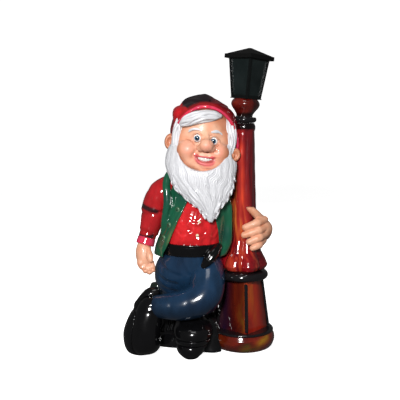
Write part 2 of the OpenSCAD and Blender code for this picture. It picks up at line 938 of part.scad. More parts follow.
module closing_plate_screws() {
  color("silver") translate([post_x, 0, 0]) for (a = [45:90:315])
    rotate([0, 0, a]) translate([plate_screw_circle, 0, 0]) {
      translate([0, 0, plate_low - 2.2]) cylinder(h = 2.2, r = screw_head_r, $fn = 32);
      translate([0, 0, plate_low - 0.1]) cylinder(h = plate_t + 6, r = screw_r, $fn = 32);
    }
}

module cable_grommet() {
  color([0.06, 0.06, 0.06]) translate([post_x, 0, grommet_z]) rotate([-90, 0, 0]) {
    tube(grommet_r - 0.1, grommet_bore_r, plate_r - plate_ledge - 2, grommet_flat + 1);
    tube(grommet_flange_r, grommet_bore_r, grommet_flat + 0.1, grommet_flat + 0.1 + grommet_t);
  }
}

module terminal_block() {
  color("ivory") translate([post_x - 16, 24, plate_low + plate_t]) difference() {
    cube([32, 18, 16]);
    for (x = [8, 24]) translate([x, -1, 8]) rotate([-90, 0, 0]) cylinder(h = 20, r = 2.2, $fn = 24);
  }
}

// Two-core lead from the terminal block up the post to the lamp holder
module post_wires() {
  color("white") cast_in_one() limb([
    [post_x, 20, 15, 2.6], [post_x, 8, 22, 2.6], [post_x, 1, 40, 2.6], [post_x, 0, 120, 2.6],
    [post_x, 0, 400, 2.6], [post_x, 0, 690, 2.6], [post_x + 1.6, 0, 722, 2.6],
    [post_x + 4.1, 0, 753, 2.6], [post_x + 5.4, 0, 770, 2.6]
  ], 8, 2);
}

// ---- Lantern ----

module at_lantern() {
  leaning() translate([0, 0, capital_h]) rotate([0, 0, 45]) children();
}

function cage_w(z) = lantern_low_w + (lantern_top_w - lantern_low_w) * (z - floor_top) / cage_h;

module lantern_tube() {
  color("goldenrod") at_lantern() tube(tube_r, tube_bore_r, tube_low, tube_top);
}

module tube_nuts() {
  color("goldenrod") at_lantern() for (z = [-web_t - swivel_gap - nut_t, floor_top])
    translate([0, 0, z]) difference() {
      cylinder(h = nut_t, r = nut_across / sqrt(3), $fn = 6);
      translate([0, 0, -1]) cylinder(h = nut_t + 2, r = tube_r + 0.05, $fn = 48);
    }
}

module lantern_floor() {
  color([0.03, 0.03, 0.03]) at_lantern() translate([0, 0, swivel_gap]) difference() {
    translate([-lantern_low_w / 2 - 1.5, -lantern_low_w / 2 - 1.5, 0])
      cube([lantern_low_w + 3, lantern_low_w + 3, floor_t]);
    translate([0, 0, -1]) cylinder(h = floor_t + 2, r = tube_r + 0.1, $fn = 48);
  }
}

// A window's way through the cage along Y, less margin at each side
module window_way(side_margin, low_z, high_z) {
  a = cage_w(low_z) / 2 - side_margin;
  b = cage_w(high_z) / 2 - side_margin;
  rotate([90, 0, 0]) translate([0, 0, -80]) linear_extrude(height = 160)
    polygon([[-a, low_z], [a, low_z], [b, high_z], [-b, high_z]]);
}

module lantern_cage() {
  color([0.02, 0.02, 0.02]) at_lantern() {
    difference() {
      translate([0, 0, floor_top]) tower(lantern_low_w, lantern_top_w, cage_h);
      translate([0, 0, floor_top - 0.01])
        tower(lantern_low_w - 2 * cage_wall, lantern_top_w - 2 * cage_wall, cage_h + 0.02);
      window_way(corner_w, floor_top + low_rail, cage_top - high_rail);
      rotate([0, 0, 90]) window_way(corner_w, floor_top + low_rail, cage_top - high_rail);
    }
    for (side = [-1, 1]) cage_knuckle(side);
  }
}

// An arm from the cage's top rail out under the eaves to a hinge barrel
module cage_knuckle(side) {
  low = side > 0 ? knuckle / 2 + 0.4 : -knuckle * 1.5 - 0.4;
  arm_top = eaves_low - 0.6;
  difference() {
    union() {
      translate([lantern_top_w / 2 - 2.5, low, arm_top - 3])
        cube([hinge_out - lantern_top_w / 2 + 2.5, knuckle, 3]);
      translate([hinge_out - 1.5, low, arm_top - 3]) cube([barrel_r + 0.5, knuckle, barrel_r + 2]);
      translate([hinge_out, low, hinge_up]) rotate([-90, 0, 0]) cylinder(h = knuckle, r = barrel_r, $fn = 48);
    }
    translate([hinge_out, low - 1, hinge_up]) rotate([-90, 0, 0])
      cylinder(h = knuckle + 2, r = pin_r + 0.02, $fn = 32);
  }
}

module panes_on(turn) {
  low_w = cage_w(floor_top + 1) - 2 * cage_wall - 0.4;
  high_w = cage_w(cage_top - 1) - 2 * cage_wall - 0.4;
  rotate([0, 0, turn]) intersection() {
    difference() {
      translate([0, 0, floor_top + 1]) tower(low_w, high_w, cage_h - 2);
      translate([0, 0, floor_top + 0.9]) tower(low_w - 2 * pane_t, high_w - 2 * pane_t, cage_h - 1.8);
    }
    window_way(corner_w - 0.6, floor_top + 2, cage_top - 2);
    translate([-60, -120, 0]) cube([120, 120, 200]);
  }
}

module pane(turn) {
  color([0.1, 0.12, 0.12]) at_lantern() panes_on(turn);
}

module lamp_holder() {
  color([0.9, 0.9, 0.86]) at_lantern() difference() {
    translate([0, 0, floor_top + nut_t]) cylinder(h = holder_top - floor_top - nut_t, r = holder_r, $fn = 64);
    translate([0, 0, 0]) cylinder(h = tube_top + 1, r = tube_r + 0.05, $fn = 48);
    translate([0, 0, cap_low - 2]) cylinder(h = 40, r = cap_r + cap_gap, $fn = 48);
  }
}

module hinge_pin() {
  color("silver") at_lantern() translate([hinge_out, -knuckle * 1.5 - 1.5, hinge_up]) rotate([-90, 0, 0])
    cylinder(h = knuckle * 3 + 3, r = pin_r, $fn = 32);
}

module roof() {
  inner_w = lantern_top_w - 2 * cage_wall - 2;
  color([0.02, 0.02, 0.02]) at_lantern() {
    difference() {
      union() {
        translate([-roof_w / 2, -roof_w / 2, eaves_low]) cube([roof_w, roof_w, eaves_h]);
        translate([0, 0, eaves_low + eaves_h]) tower(roof_w - 4, 7, roof_rise);
      }
      translate([-roof_w / 2 + skirt_t, -roof_w / 2 + skirt_t, eaves_low - 1])
        cube([roof_w - 2 * skirt_t, roof_w - 2 * skirt_t, eaves_h / 2 + 1]);
      translate([-inner_w / 2, -inner_w / 2, eaves_low]) cube([inner_w, inner_w, eaves_h]);
      translate([0, 0, eaves_low + eaves_h - 0.01]) tower(inner_w, 2, roof_rise - 5);
    }
    difference() {
      union() {
        translate([hinge_out, -knuckle / 2, hinge_up]) rotate([-90, 0, 0])
          cylinder(h = knuckle, r = barrel_r, $fn = 48);
        translate([roof_w / 2 - 1, -knuckle / 2, hinge_up]) cube([barrel_r + 1.3, knuckle, barrel_r]);
      }
      translate([hinge_out, -knuckle, hinge_up]) rotate([-90, 0, 0])
        cylinder(h = knuckle * 2, r = pin_r + pin_gap, $fn = 32);
    }
  }
}

module bulb_glass() {
  color("white") at_lantern() rotate_extrude($fn = 72) polygon(concat(
    [[0, holder_top + 0.6], [7.2, holder_top + 0.6]],
    through([
      [7.6, holder_top + 2], [9.5, holder_top + 7], [14.5, holder_top + 14], [19.3, globe_mid - 11.5]
    ], 2),
    [for (a = [-20:10:90]) [globe_r * cos(a), globe_mid + globe_r * sin(a)]]
  ));
}

module bulb_cap() {
  color("silver") at_lantern() {
    translate([0, 0, cap_low]) cylinder(h = holder_top + 0.6 - cap_low, r = cap_r, $fn = 48);
    translate([0, 0, cap_low - 1.6]) cylinder(h = 2, r = 3, $fn = 32);
  }
}

translate(-middle) hat();
translate(-middle) hat_brim();
translate(-middle) head();
translate(-middle) eye_right();
translate(-middle) eye_left();
translate(-middle) teeth();
translate(-middle) eyebrows();
translate(-middle) hair_fringe();
translate(-middle) hair_right();
translate(-middle) hair_left();
translate(-middle) hair_back();
translate(-middle) beard();
translate(-middle) shirt_torso();
translate(-middle) shirt_buttons();
translate(-middle) sleeve_right();
translate(-middle) sleeve_left();
translate(-middle) cuff_right();
translate(-middle) cuff_left();
translate(-middle) hand_right();
translate(-middle) hand_left();
translate(-middle) waistcoat();
translate(-middle) waistcoat_buttons();
translate(-middle) belt();
translate(-middle) belt_tail();
translate(-middle) trousers();
translate(-middle) trouser_leg_crossed();
translate(-middle) boot_right();
translate(-middle) boot_left();
translate(-middle) boot_sole_right();
translate(-middle) boot_sole_left();
translate(-middle) stump();
translate(-middle) ground_mound();
translate(-middle) post_foot();
translate(-middle) post_foot_rim();
translate(-middle) plinth();
translate(-middle) plinth_corner_beads();
translate(-middle) post_ring();
translate(-middle) post_shaft();
translate(-middle) post_collar();
translate(-middle) capital();
translate(-middle) foot_closing_plate();
translate(-middle) closing_plate_screws();
translate(-middle) cable_grommet();
translate(-middle) terminal_block();
translate(-middle) post_wires();
translate(-middle) lantern_tube();
translate(-middle) tube_nuts();
translate(-middle) lantern_floor();
translate(-middle) lantern_cage();
translate(-middle) pane(-90);  // pane_front_left
translate(-middle) pane(0);  // pane_front_right
translate(-middle) pane(180);  // pane_rear_left
translate(-middle) pane(90);  // pane_rear_right
translate(-middle) lamp_holder();
translate(-middle) hinge_pin();
translate(-middle) roof();
translate(-middle) bulb_glass();
translate(-middle) bulb_cap();
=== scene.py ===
"""A garden gnome leaning on a lamp post: its sculpted and painted look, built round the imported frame.

Each casting is pressed out of a block of distances, in millimetres and in the drawing's own frame: X 0 is
near the middle of the figure, Y 0 the post's axis and Z 0 the ground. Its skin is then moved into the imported
frame, in metres.
"""

import math

import bpy
import numpy as np
import openvdb
from mathutils import Euler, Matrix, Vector


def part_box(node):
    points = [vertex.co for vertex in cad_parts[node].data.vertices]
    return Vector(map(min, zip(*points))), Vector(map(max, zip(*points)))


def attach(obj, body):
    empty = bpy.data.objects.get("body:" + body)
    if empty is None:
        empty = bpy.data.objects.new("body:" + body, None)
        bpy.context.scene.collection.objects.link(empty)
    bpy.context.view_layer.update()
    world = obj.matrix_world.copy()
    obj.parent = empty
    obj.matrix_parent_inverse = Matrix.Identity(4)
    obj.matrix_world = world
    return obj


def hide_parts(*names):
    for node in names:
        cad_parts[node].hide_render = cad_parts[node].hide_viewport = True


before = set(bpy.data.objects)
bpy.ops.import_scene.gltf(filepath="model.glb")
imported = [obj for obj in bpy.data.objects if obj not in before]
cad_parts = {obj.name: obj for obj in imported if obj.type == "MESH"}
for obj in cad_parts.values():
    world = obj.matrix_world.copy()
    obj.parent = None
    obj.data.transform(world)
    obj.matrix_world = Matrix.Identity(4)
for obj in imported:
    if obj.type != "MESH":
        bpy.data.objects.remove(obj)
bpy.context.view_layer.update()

POST_X = 132.0  # the post's axis in the drawing
ring_low, ring_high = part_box("post_ring")
ring_middle = (ring_low + ring_high) / 2 * 1000
MIDDLE = np.array([POST_X - ring_middle.x, -ring_middle.y, 0.0])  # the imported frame's origin in the drawing
COARSE = 1.0
FAR = 30.0  # distance kept where nothing is near
WIDE = 1000.0  # past anything in the drawing


# ---- Clay: forms pressed together in a field of distances ----


def smooth_min(a, b, blend):
    """The lesser of two distances, with the join rounded over blend."""
    if blend <= 0:
        return np.minimum(a, b)
    near = np.maximum(blend - np.abs(a - b), 0) / blend
    return np.minimum(a, b) - near * near * blend / 4


def through(stations, per=5):
    """Stations on a smooth curve through the given ones."""
    rows = np.array(stations, float)
    held = np.vstack([rows[:1], rows, rows[-1:]])
    out = []
    for a, b, c, d in zip(held, held[1:], held[2:], held[3:]):
        for t in np.arange(per) / per:
            bend = (2 * a - 5 * b + 4 * c - d) * t * t + (3 * b - a - 3 * c + d) * t**3
            out.append(0.5 * (2 * b + (c - a) * t + bend))
    return np.array(out + [rows[-1]])


class Form:
    """A shape that knows its distance from any point, and the box that it lies in."""

    def __init__(self, low, high, distance):
        self.low = np.array(low, float)
        self.high = np.array(high, float)
        self.distance = distance


def oval(dx, dy, rx, ry):
    """Distance from an oval, nearly."""
    k0 = np.sqrt((dx / rx) ** 2 + (dy / ry) ** 2)
    k1 = np.sqrt((dx / rx**2) ** 2 + (dy / ry**2) ** 2)
    return k0 * (k0 - 1) / np.maximum(k1, 1e-4)


def ball(at, radii, turn=(0, 0, 0)):
    """An ellipsoid, turned by these degrees about X, Y and Z."""
    at = np.array(at, float)
    r = np.array(radii, float) * np.ones(3)
    m = np.array(Euler([math.radians(a) for a in turn]).to_matrix())

    def distance(x, y, z):
        d = [(x - at[0]), (y - at[1]), (z - at[2])]
        q = [m[0][i] * d[0] + m[1][i] * d[1] + m[2][i] * d[2] for i in range(3)] if any(turn) else d
        k0 = np.sqrt(sum((q[i] / r[i]) ** 2 for i in range(3)))
        k1 = np.sqrt(sum((q[i] / r[i] ** 2) ** 2 for i in range(3)))
        return k0 * (k0 - 1) / np.maximum(k1, 1e-4)

    return Form(at - r.max(), at + r.max(), distance)


def chain(rows, x, y, z):
    """Distance from a row of joined round cones, each station x, y, z, radius."""
    best = None
    for a, b in zip(rows, rows[1:]):
        u = b[:3] - a[:3]
        length = max(float(u @ u), 1e-6)
        t = np.clip(((x - a[0]) * u[0] + (y - a[1]) * u[1] + (z - a[2]) * u[2]) / length, 0, 1)
        gap = (x - a[0] - t * u[0]) ** 2 + (y - a[1] - t * u[1]) ** 2 + (z - a[2] - t * u[2]) ** 2
        d = np.sqrt(gap) - (a[3] + t * (b[3] - a[3]))
        best = d if best is None else np.minimum(best, d)
    return best


def rod(stations, per=4):
    """A round limb along a smooth course, each station x, y, z, radius."""
    rows = through(stations, per)
    r = rows[:, 3].max()
    return Form(rows[:, :3].min(0) - r, rows[:, :3].max(0) + r, lambda x, y, z: chain(rows, x, y, z))


def loft(stations, rounding=4.0, grow=0.0):
    """Level egg-shaped rings. A station is z, x, y, half width, reach to the front, reach to the back."""
    rows = through(stations, 6)
    z0, z1 = rows[0][0] - grow, rows[-1][0] + grow

    def distance(x, y, z):
        cx, cy, w, front, back = (np.interp(z, rows[:, 0], rows[:, i]) for i in range(1, 6))
        dy = y - cy
        side = oval(x - cx, dy, w + grow, np.where(dy < 0, front, back) + grow)
        return -smooth_min(-side, -np.maximum(z0 - z, z - z1), rounding)

    reach = rows[:, 3:6].max() + grow
    low = [rows[:, 1].min() - reach, rows[:, 2].min() - reach, z0]
    high = [rows[:, 1].max() + reach, rows[:, 2].max() + reach, z1]
    return Form(low, high, distance)


def panel(outline, y0, y1):
    """A board with this outline in X and Z, from y0 to y1."""
    pts = np.array(outline, float)

    def distance(x, y, z):
        inside = np.zeros(np.broadcast(x, z).shape, bool)
        near = np.full(inside.shape, 1e6)
        for a, b in zip(pts, np.roll(pts, -1, 0)):
            e = b - a
            t = np.clip(((x - a[0]) * e[0] + (z - a[1]) * e[1]) / (e @ e), 0, 1)
            near = np.minimum(near, (x - a[0] - t * e[0]) ** 2 + (z - a[1] - t * e[1]) ** 2)
            crosses = (a[1] > z) != (b[1] > z)
            slope = (b[0] - a[0]) / (b[1] - a[1] if b[1] != a[1] else 1e-9)
            inside ^= crosses & (x < a[0] + (z - a[1]) * slope)
        flat = np.sqrt(near) * np.where(inside, -1, 1)
        return np.maximum(flat, np.maximum(y0 - y, y - y1))

    low = [pts[:, 0].min(), y0, pts[:, 1].min()]
    high = [pts[:, 0].max(), y1, pts[:, 1].max()]
    return Form(low, high, distance)


def slab(bottom, top):
    """Everything between two levels."""
    outline = [(-WIDE, bottom), (WIDE, bottom), (WIDE, top), (-WIDE, top)]
    return panel(outline, -WIDE, WIDE)


def turned(profile, wave=None):
    """A shape turned about the post's axis, each station z, radius. wave(angle, z) scales the radius."""
    rows = np.array(profile, float)
    z0, z1 = rows[0][0], rows[-1][0]
    r_max = rows[:, 1].max()

    def distance(x, y, z):
        radius = np.interp(z, rows[:, 0], rows[:, 1])
        if wave:
            radius = radius * wave(np.arctan2(y, x - POST_X), z)
        return np.maximum(np.sqrt((x - POST_X) ** 2 + y**2) - radius, np.maximum(z0 - z, z - z1))

    return Form([POST_X - r_max, -r_max, z0], [POST_X + r_max, r_max, z1], distance)


class Clay:
    """A block of distances, negative inside, that forms are added to, cut from and drawn on."""

    def __init__(self, low, high, step):
        self.step = step * COARSE
        self.low = np.array(low, float)
        self.high = np.array(high, float)
        counts = np.ceil((self.high - self.low) / self.step).astype(int) + 1
        self.axes = [(a + self.step * np.arange(n)).astype(np.float32) for a, n in zip(self.low, counts)]
        self.field = np.full(counts, FAR, np.float32)

    def window(self, low, high, margin):
        """The part of the block within a box and a margin round it, and its points' coordinates."""
        cut = []
        for axis, a, b in zip(self.axes, low, high):
            first = int(np.searchsorted(axis, a - margin))
            last = int(np.searchsorted(axis, b + margin))
            cut.append(slice(min(first, len(axis) - 1), max(last, first + 1)))
        x, y, z = (axis[c] for axis, c in zip(self.axes, cut))
        return tuple(cut), (x[:, None, None], y[None, :, None], z[None, None, :])

    def add(self, form, blend=0.0):
        cut, at = self.window(form.low, form.high, blend + 3 * self.step)
        self.field[cut] = smooth_min(self.field[cut], form.distance(*at), blend)

    def cut(self, form, blend=0.0):
        cut, at = self.window(form.low, form.high, blend + 3 * self.step)
        self.field[cut] = -smooth_min(-self.field[cut], form.distance(*at), blend)

    def keep(self, form, blend=0.0):
        """Takes away what is outside the form."""
        _, at = self.window(self.low, self.high, FAR)
        self.field[:] = -smooth_min(-self.field, -form.distance(*at), blend)

    def fold(self, points, height, width):
        """Raises the surface along a curve, or cuts a groove where height is negative."""
        rows = through([list(p) + [0] for p in points], 4)
        cut, at = self.window(rows[:, :3].min(0), rows[:, :3].max(0), 2.6 * width)
        self.field[cut] -= height * np.exp(-((chain(rows, *at) / width) ** 2))

    def waves(self, shift, end=0):
        """Moves the surface outwards by shift(x, y, z), but not within end of the lower and upper side."""
        trim = np.array([0, 0, end])
        cut, at = self.window(self.low + trim, self.high - trim, 0)
        self.field[cut] -= shift(*at).astype(np.float32)

    def front(self, x, z):
        """Where a line along Y first meets the clay."""
        i = int(np.clip(round((x - self.low[0]) / self.step), 0, self.field.shape[0] - 1))
        k = int(np.clip(round((z - self.low[2]) / self.step), 0, self.field.shape[2] - 1))
        column = self.field[i, :, k]
        solid = np.nonzero(column < 0)[0]
        return float(self.axes[1][solid[0] if len(solid) else int(column.argmin())])

    def drawn(self, points, proud=0.0):
        """Points given as x, z, laid on the clay's front and moved this far out of it."""
        return [(x, self.front(x, z) - proud, z) for x, z in points]

    def skin(self):
        """The surface as points and quads. The block's own sides count as outside."""
        band = 3 * self.step
        field = np.clip(self.field, -band, band)
        for axis in range(3):
            side = [slice(None)] * 3
            for end in (0, -1):
                side[axis] = end
                field[tuple(side)] = band
        grid = openvdb.FloatGrid(background=band)
        grid.copyFromArray(np.ascontiguousarray(field, np.float32))
        points, quads = grid.convertToQuads(isovalue=0.0)
        return np.array(points, float) * self.step + self.low, np.array(quads, int)


# ---- Skins: smoothing, paint and meshes ----

MOST_PAINT = 4  # the brightest tint that a marbled colour is multiplied by


def neighbours(quads):
    """Both ends of every edge, each way round."""
    a, b = quads.ravel(), np.roll(quads, -1, 1).ravel()
    return np.concatenate([a, b]), np.concatenate([b, a])


def relaxed(points, quads, times, weight=0.5):
    """Moves each point toward its neighbours' middle, this many times."""
    a, b = neighbours(quads)
    count = np.maximum(np.bincount(a, minlength=len(points)), 1)
    for _ in range(times):
        sums = [np.bincount(a, points[b, k], len(points)) for k in range(3)]
        points = points + weight * (np.stack(sums, 1) / count[:, None] - points)
    return points


def without_crumbs(points, quads):
    """Keeps the pieces that hold at least a fiftieth of the points."""
    a, b = neighbours(quads)
    label = np.arange(len(points))
    while True:
        low = label.copy()
        np.minimum.at(low, a, label[b])
        low = low[low]
        if (low == label).all():
            break
        label = low
    size = np.bincount(label, minlength=len(points))[label]
    kept = size > len(points) / 50
    index = np.cumsum(kept) - 1
    return points[kept], index[quads[kept[quads].all(1)]]


def normals_of(points, quads):
    a, b, c, d = (points[quads[:, k]] for k in range(4))
    cross = np.cross(c - a, d - b)
    sums = [np.bincount(quads.ravel(), np.repeat(cross[:, k], 4), len(points)) for k in range(3)]
    total = np.stack(sums, 1)
    return total / np.maximum(np.linalg.norm(total, axis=1), 1e-9)[:, None]


def hollows_of(points, quads, normals, times=7):
    """How far each point lies under the smoothed skin, in millimetres: positive in a groove."""
    return np.einsum("ij,ij->i", relaxed(points, quads, times, 0.6) - points, normals)


def set_paint(mesh, colours):
    paint = mesh.attributes.new("Paint", "FLOAT_COLOR", "POINT")
    rgba = np.concatenate([colours, np.ones((len(colours), 1))], 1)
    paint.data.foreach_set("color", rgba.astype(np.float32).ravel())


def mesh_of(name, points, quads):
    mesh = bpy.data.meshes.new(name)
    mesh.from_pydata(points, [], quads)
    mesh.polygons.foreach_set("use_smooth", np.ones(len(quads), bool))
    mesh.update()
    piece = bpy.data.objects.new(name, mesh)
    bpy.context.scene.collection.objects.link(piece)
    return piece


def step_up(values, low, high):
    """0 up to low, 1 from high on, smooth between."""
    t = np.clip((values - low) / (high - low), 0, 1)
    return t * t * (3 - 2 * t)


def mixed(base, over, share):
    """A colour laid over others, with a share for each point."""
    share = np.asarray(share)[:, None]
    return base * (1 - share) + np.array(over, float) * share


def plain(colour, count):
    return np.tile(np.array(colour, float), (count, 1))


def blotches(points, size, seed):
    """Smooth noise from -1 to 1, from a few crossed waves."""
    draw = np.random.default_rng(seed)
    total = np.zeros(len(points))
    for _ in range(7):
        way = draw.normal(size=3)
        way *= draw.uniform(0.6, 1.7) * 2 * math.pi / size / np.linalg.norm(way)
        total += np.sin(points @ way + draw.uniform(0, 6.3))
    return total / 3.4


def near_point(points, at, width):
    """1 at a point, fading to 0 over width."""
    return np.exp(-(((points - np.array(at)) ** 2).sum(1)) / width**2)


def near_curve(points, curve, width):
    """1 on a curve of x, y, z points, fading to 0 over width."""
    rows = through([list(p)[:3] + [0] for p in curve], 5)
    d = chain(rows, points[:, 0], points[:, 1], points[:, 2])
    return np.exp(-((d / width) ** 2))


def sculpted(name, clay, paint, material, nodes=(), relax=2, crumbs=False):
    """The finished piece of a block of clay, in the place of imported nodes, or of the one of its own name.

    paint(points, normals, hollows) gives a colour for each point. relax is how often the skin is smoothed,
    and crumbs says that loose scraps are thrown away.
    """
    points, quads = clay.skin()
    if crumbs:
        points, quads = without_crumbs(points, quads)
    points = relaxed(points, quads, relax)
    normals = normals_of(points, quads)
    a, b, c = (points[quads[:, k]] for k in range(3))
    if np.einsum("ij,ij->i", a, np.cross(b, c)).sum() < 0:
        quads = quads[:, ::-1]
        normals = -normals
    hollows = hollows_of(points, quads, normals)
    piece = mesh_of(name, (points - MIDDLE) / 1000, quads)
    set_paint(piece.data, np.clip(paint(points, normals, hollows), 0, MOST_PAINT))
    deep = piece.data.attributes.new("Hollow", "FLOAT", "POINT")
    deep.data.foreach_set("value", hollows.astype(np.float32))
    piece.data.materials.append(MATERIALS[material])
    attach(piece, "figure")
    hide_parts(*(nodes or [name]))


# ---- Materials ----

# The sockets of a colour mix
MIX_SHARE, MIX_FIRST, MIX_SECOND, MIX_COLOUR = 0, 6, 7, 2


def new_material(name):
    material = bpy.data.materials.new(name)
    material.use_nodes = True
    tree = material.node_tree
    return material, tree, tree.nodes["Principled BSDF"]


def link(tree, a, out, b, into):
    tree.links.new(a.outputs[out], b.inputs[into])


def noise(tree, scale, detail=3.0, stretch=(1, 1, 1), rough=0.5):
    """Noise in the piece's own coordinates, so that it moves with the piece."""
    where = tree.nodes.new("ShaderNodeTexCoord")
    shape = tree.nodes.new("ShaderNodeMapping")
    shape.inputs["Scale"].default_value = stretch
    link(tree, where, "Object", shape, "Vector")
    made = tree.nodes.new("ShaderNodeTexNoise")
    made.inputs["Scale"].default_value = scale
    made.inputs["Detail"].default_value = detail
    made.inputs["Roughness"].default_value = rough
    link(tree, shape, "Vector", made, "Vector")
    return made


def ramp(tree, source, out, stops):
    made = tree.nodes.new("ShaderNodeValToRGB")
    while len(made.color_ramp.elements) < len(stops):
        made.color_ramp.elements.new(0.5)
    for element, (place, colour) in zip(made.color_ramp.elements, stops):
        element.position = place
        element.color = (*colour, 1)
    link(tree, source, out, made, "Fac")
    return made


def attribute(tree, name):
    made = tree.nodes.new("ShaderNodeAttribute")
    made.attribute_name = name
    return made


def colour_mix(tree, kind, first):
    """A colour mix over the first colour. Its share and its second colour are left to the caller."""
    mix = tree.nodes.new("ShaderNodeMix")
    mix.data_type = "RGBA"
    mix.blend_type = kind
    tree.links.new(first, mix.inputs[MIX_FIRST])
    return mix


def multiplied(tree, first, second):
    mix = colour_mix(tree, "MULTIPLY", first)
    mix.inputs[MIX_SHARE].default_value = 1.0
    tree.links.new(second, mix.inputs[MIX_SECOND])
    return mix.outputs[MIX_COLOUR]


def lacquer_coat(shader, weight, roughness):
    shader.inputs["Coat Weight"].default_value = weight
    shader.inputs["Coat Roughness"].default_value = roughness


def uneven(tree, shader, bump_scale, bump, rough_low, rough_high, rough_scale):
    """Roughness that wanders and a fine bump, both from noise."""
    grain = noise(tree, rough_scale, 4)
    spread = tree.nodes.new("ShaderNodeMapRange")
    spread.inputs["To Min"].default_value = rough_low
    spread.inputs["To Max"].default_value = rough_high
    link(tree, grain, "Fac", spread, "Value")
    link(tree, spread, "Result", shader, "Roughness")
    relief = tree.nodes.new("ShaderNodeBump")
    relief.inputs["Strength"].default_value = bump
    relief.inputs["Distance"].default_value = 0.001
    link(tree, noise(tree, bump_scale, 2), "Fac", relief, "Height")
    link(tree, relief, "Normal", shader, "Normal")


def lacquer(name, gloss, bump, fade, groove_shade, pores=170, coat=0.7):
    """Brushed paint under clear lacquer: the painted colour, streaky, with painted shade that darkens it in
    grooves and hollows.
    """
    material, tree, shader = new_material(name)
    streaks = ramp(tree, noise(tree, 34, 4, (1, 1, 0.45)), "Fac",
                   [(0.3, (1 - fade,) * 3), (0.7, (1 + fade * 0.5,) * 3)])
    toned = multiplied(tree, attribute(tree, "Paint").outputs["Color"], streaks.outputs["Color"])
    # Painted shade: the deeper a point lies in a hollow, the more it is mixed towards the darker colour
    deep = tree.nodes.new("ShaderNodeMapRange")
    deep.inputs["From Min"].default_value = 0.12
    deep.inputs["From Max"].default_value = 0.9
    deep.inputs["To Max"].default_value = 0.55
    link(tree, attribute(tree, "Hollow"), "Fac", deep, "Value")
    shade_mix = colour_mix(tree, "MIX", toned)
    shade_mix.inputs[MIX_SECOND].default_value = (*groove_shade, 1)
    tree.links.new(deep.outputs["Result"], shade_mix.inputs[MIX_SHARE])
    tree.links.new(shade_mix.outputs[MIX_COLOUR], shader.inputs["Base Color"])
    uneven(tree, shader, pores, bump, *gloss, 55)
    lacquer_coat(shader, coat, 0.05)
    return material


def marbled(name, stops, stretch, fineness):
    """Lacquers run into one another while wet: veins drawn out along Z, tinted by the painted colour."""
    material, tree, shader = new_material(name)
    wander = noise(tree, fineness, 5, stretch, 0.55)
    wander.inputs["Distortion"].default_value = 0.9
    veins = ramp(tree, wander, "Fac", stops)
    tinted = multiplied(tree, veins.outputs["Color"], attribute(tree, "Paint").outputs["Color"])
    tree.links.new(tinted, shader.inputs["Base Color"])
    uneven(tree, shader, 60, 0.3, 0.06, 0.2, 40)
    lacquer_coat(shader, 0.9, 0.03)
    return material


def moulded(name, colour, gloss, metallic=0.0, bump=0.15, scale=300, fade=0.15, stretch=(1, 1, 1),
            shine=0.5):
    """Paint, plastic, rubber or metal with a fine grain and uneven shine."""
    material, tree, shader = new_material(name)
    darker = [c * (1 - fade) for c in colour]
    lighter = [min(1.0, c * (1 + fade)) for c in colour]
    tint = ramp(tree, noise(tree, 45, 5, stretch), "Fac", [(0.3, darker), (0.7, lighter)])
    link(tree, tint, "Color", shader, "Base Color")
    uneven(tree, shader, scale, bump, *gloss, 70)
    shader.inputs["Metallic"].default_value = metallic
    shader.inputs["Specular IOR Level"].default_value = shine
    return material


# Lacquer: gloss from and to, bump, fade, painted shade in the grooves
MATERIALS = {
    "skin": lacquer("skin_lacquer", (0.34, 0.5), 0.10, 0.08, (0.42, 0.13, 0.06), coat=0.12),
    "eye": lacquer("eye_lacquer", (0.03, 0.08), 0.02, 0.03, (0.4, 0.35, 0.35)),
    "hair": lacquer("hair_lacquer", (0.32, 0.5), 0.2, 0.1, (0.20, 0.20, 0.22), 260, coat=0.15),
    "red": lacquer("red_lacquer", (0.08, 0.2), 0.10, 0.25, (0.05, 0.002, 0.003), 60),
    "green": lacquer("green_lacquer", (0.10, 0.22), 0.10, 0.2, (0.005, 0.015, 0.01), 110),
    "blue": lacquer("blue_lacquer", (0.14, 0.26), 0.08, 0.3, (0.002, 0.005, 0.012), 190),
    "black": lacquer("black_lacquer", (0.08, 0.22), 0.12, 0.3, (0.002, 0.002, 0.002), 60, coat=0.2),
    "stump": lacquer("stump_lacquer", (0.12, 0.35), 0.4, 0.4, (0.003, 0.006, 0.004), 120),
}
# The post's marbled lacquers: places and colours of the veins, how they are drawn out, how fine they are
for part, stops, stretch, fineness in (
    ("shaft", [(0.30, (0.05, 0.003, 0.006)), (0.44, (0.20, 0.008, 0.010)), (0.54, (0.36, 0.022, 0.015)),
               (0.62, (0.62, 0.16, 0.03)), (0.67, (0.26, 0.012, 0.012)), (0.80, (0.05, 0.003, 0.006))],
     (1.6, 1.6, 0.22), 9),
    ("plinth", [(0.30, (0.012, 0.003, 0.005)), (0.43, (0.06, 0.006, 0.004)), (0.53, (0.13, 0.016, 0.005)),
                (0.61, (0.17, 0.05, 0.007)), (0.67, (0.07, 0.05, 0.010)), (0.78, (0.03, 0.012, 0.006))],
     (1.1, 1.1, 0.5), 6),
    ("foot", [(0.30, (0.03, 0.022, 0.006)), (0.42, (0.09, 0.010, 0.005)), (0.52, (0.19, 0.020, 0.007)),
              (0.62, (0.26, 0.05, 0.01)), (0.70, (0.16, 0.010, 0.007)), (0.80, (0.03, 0.008, 0.006))],
     (0.6, 0.6, 1.2), 7),
    ("capital", [(0.35, (0.012, 0.002, 0.002)), (0.52, (0.14, 0.012, 0.006)), (0.66, (0.34, 0.06, 0.01)),
                 (0.78, (0.05, 0.004, 0.003))], (1, 1, 0.5), 9),
):
    MATERIALS[part] = marbled(f"{part}_marble", stops, stretch, fineness)

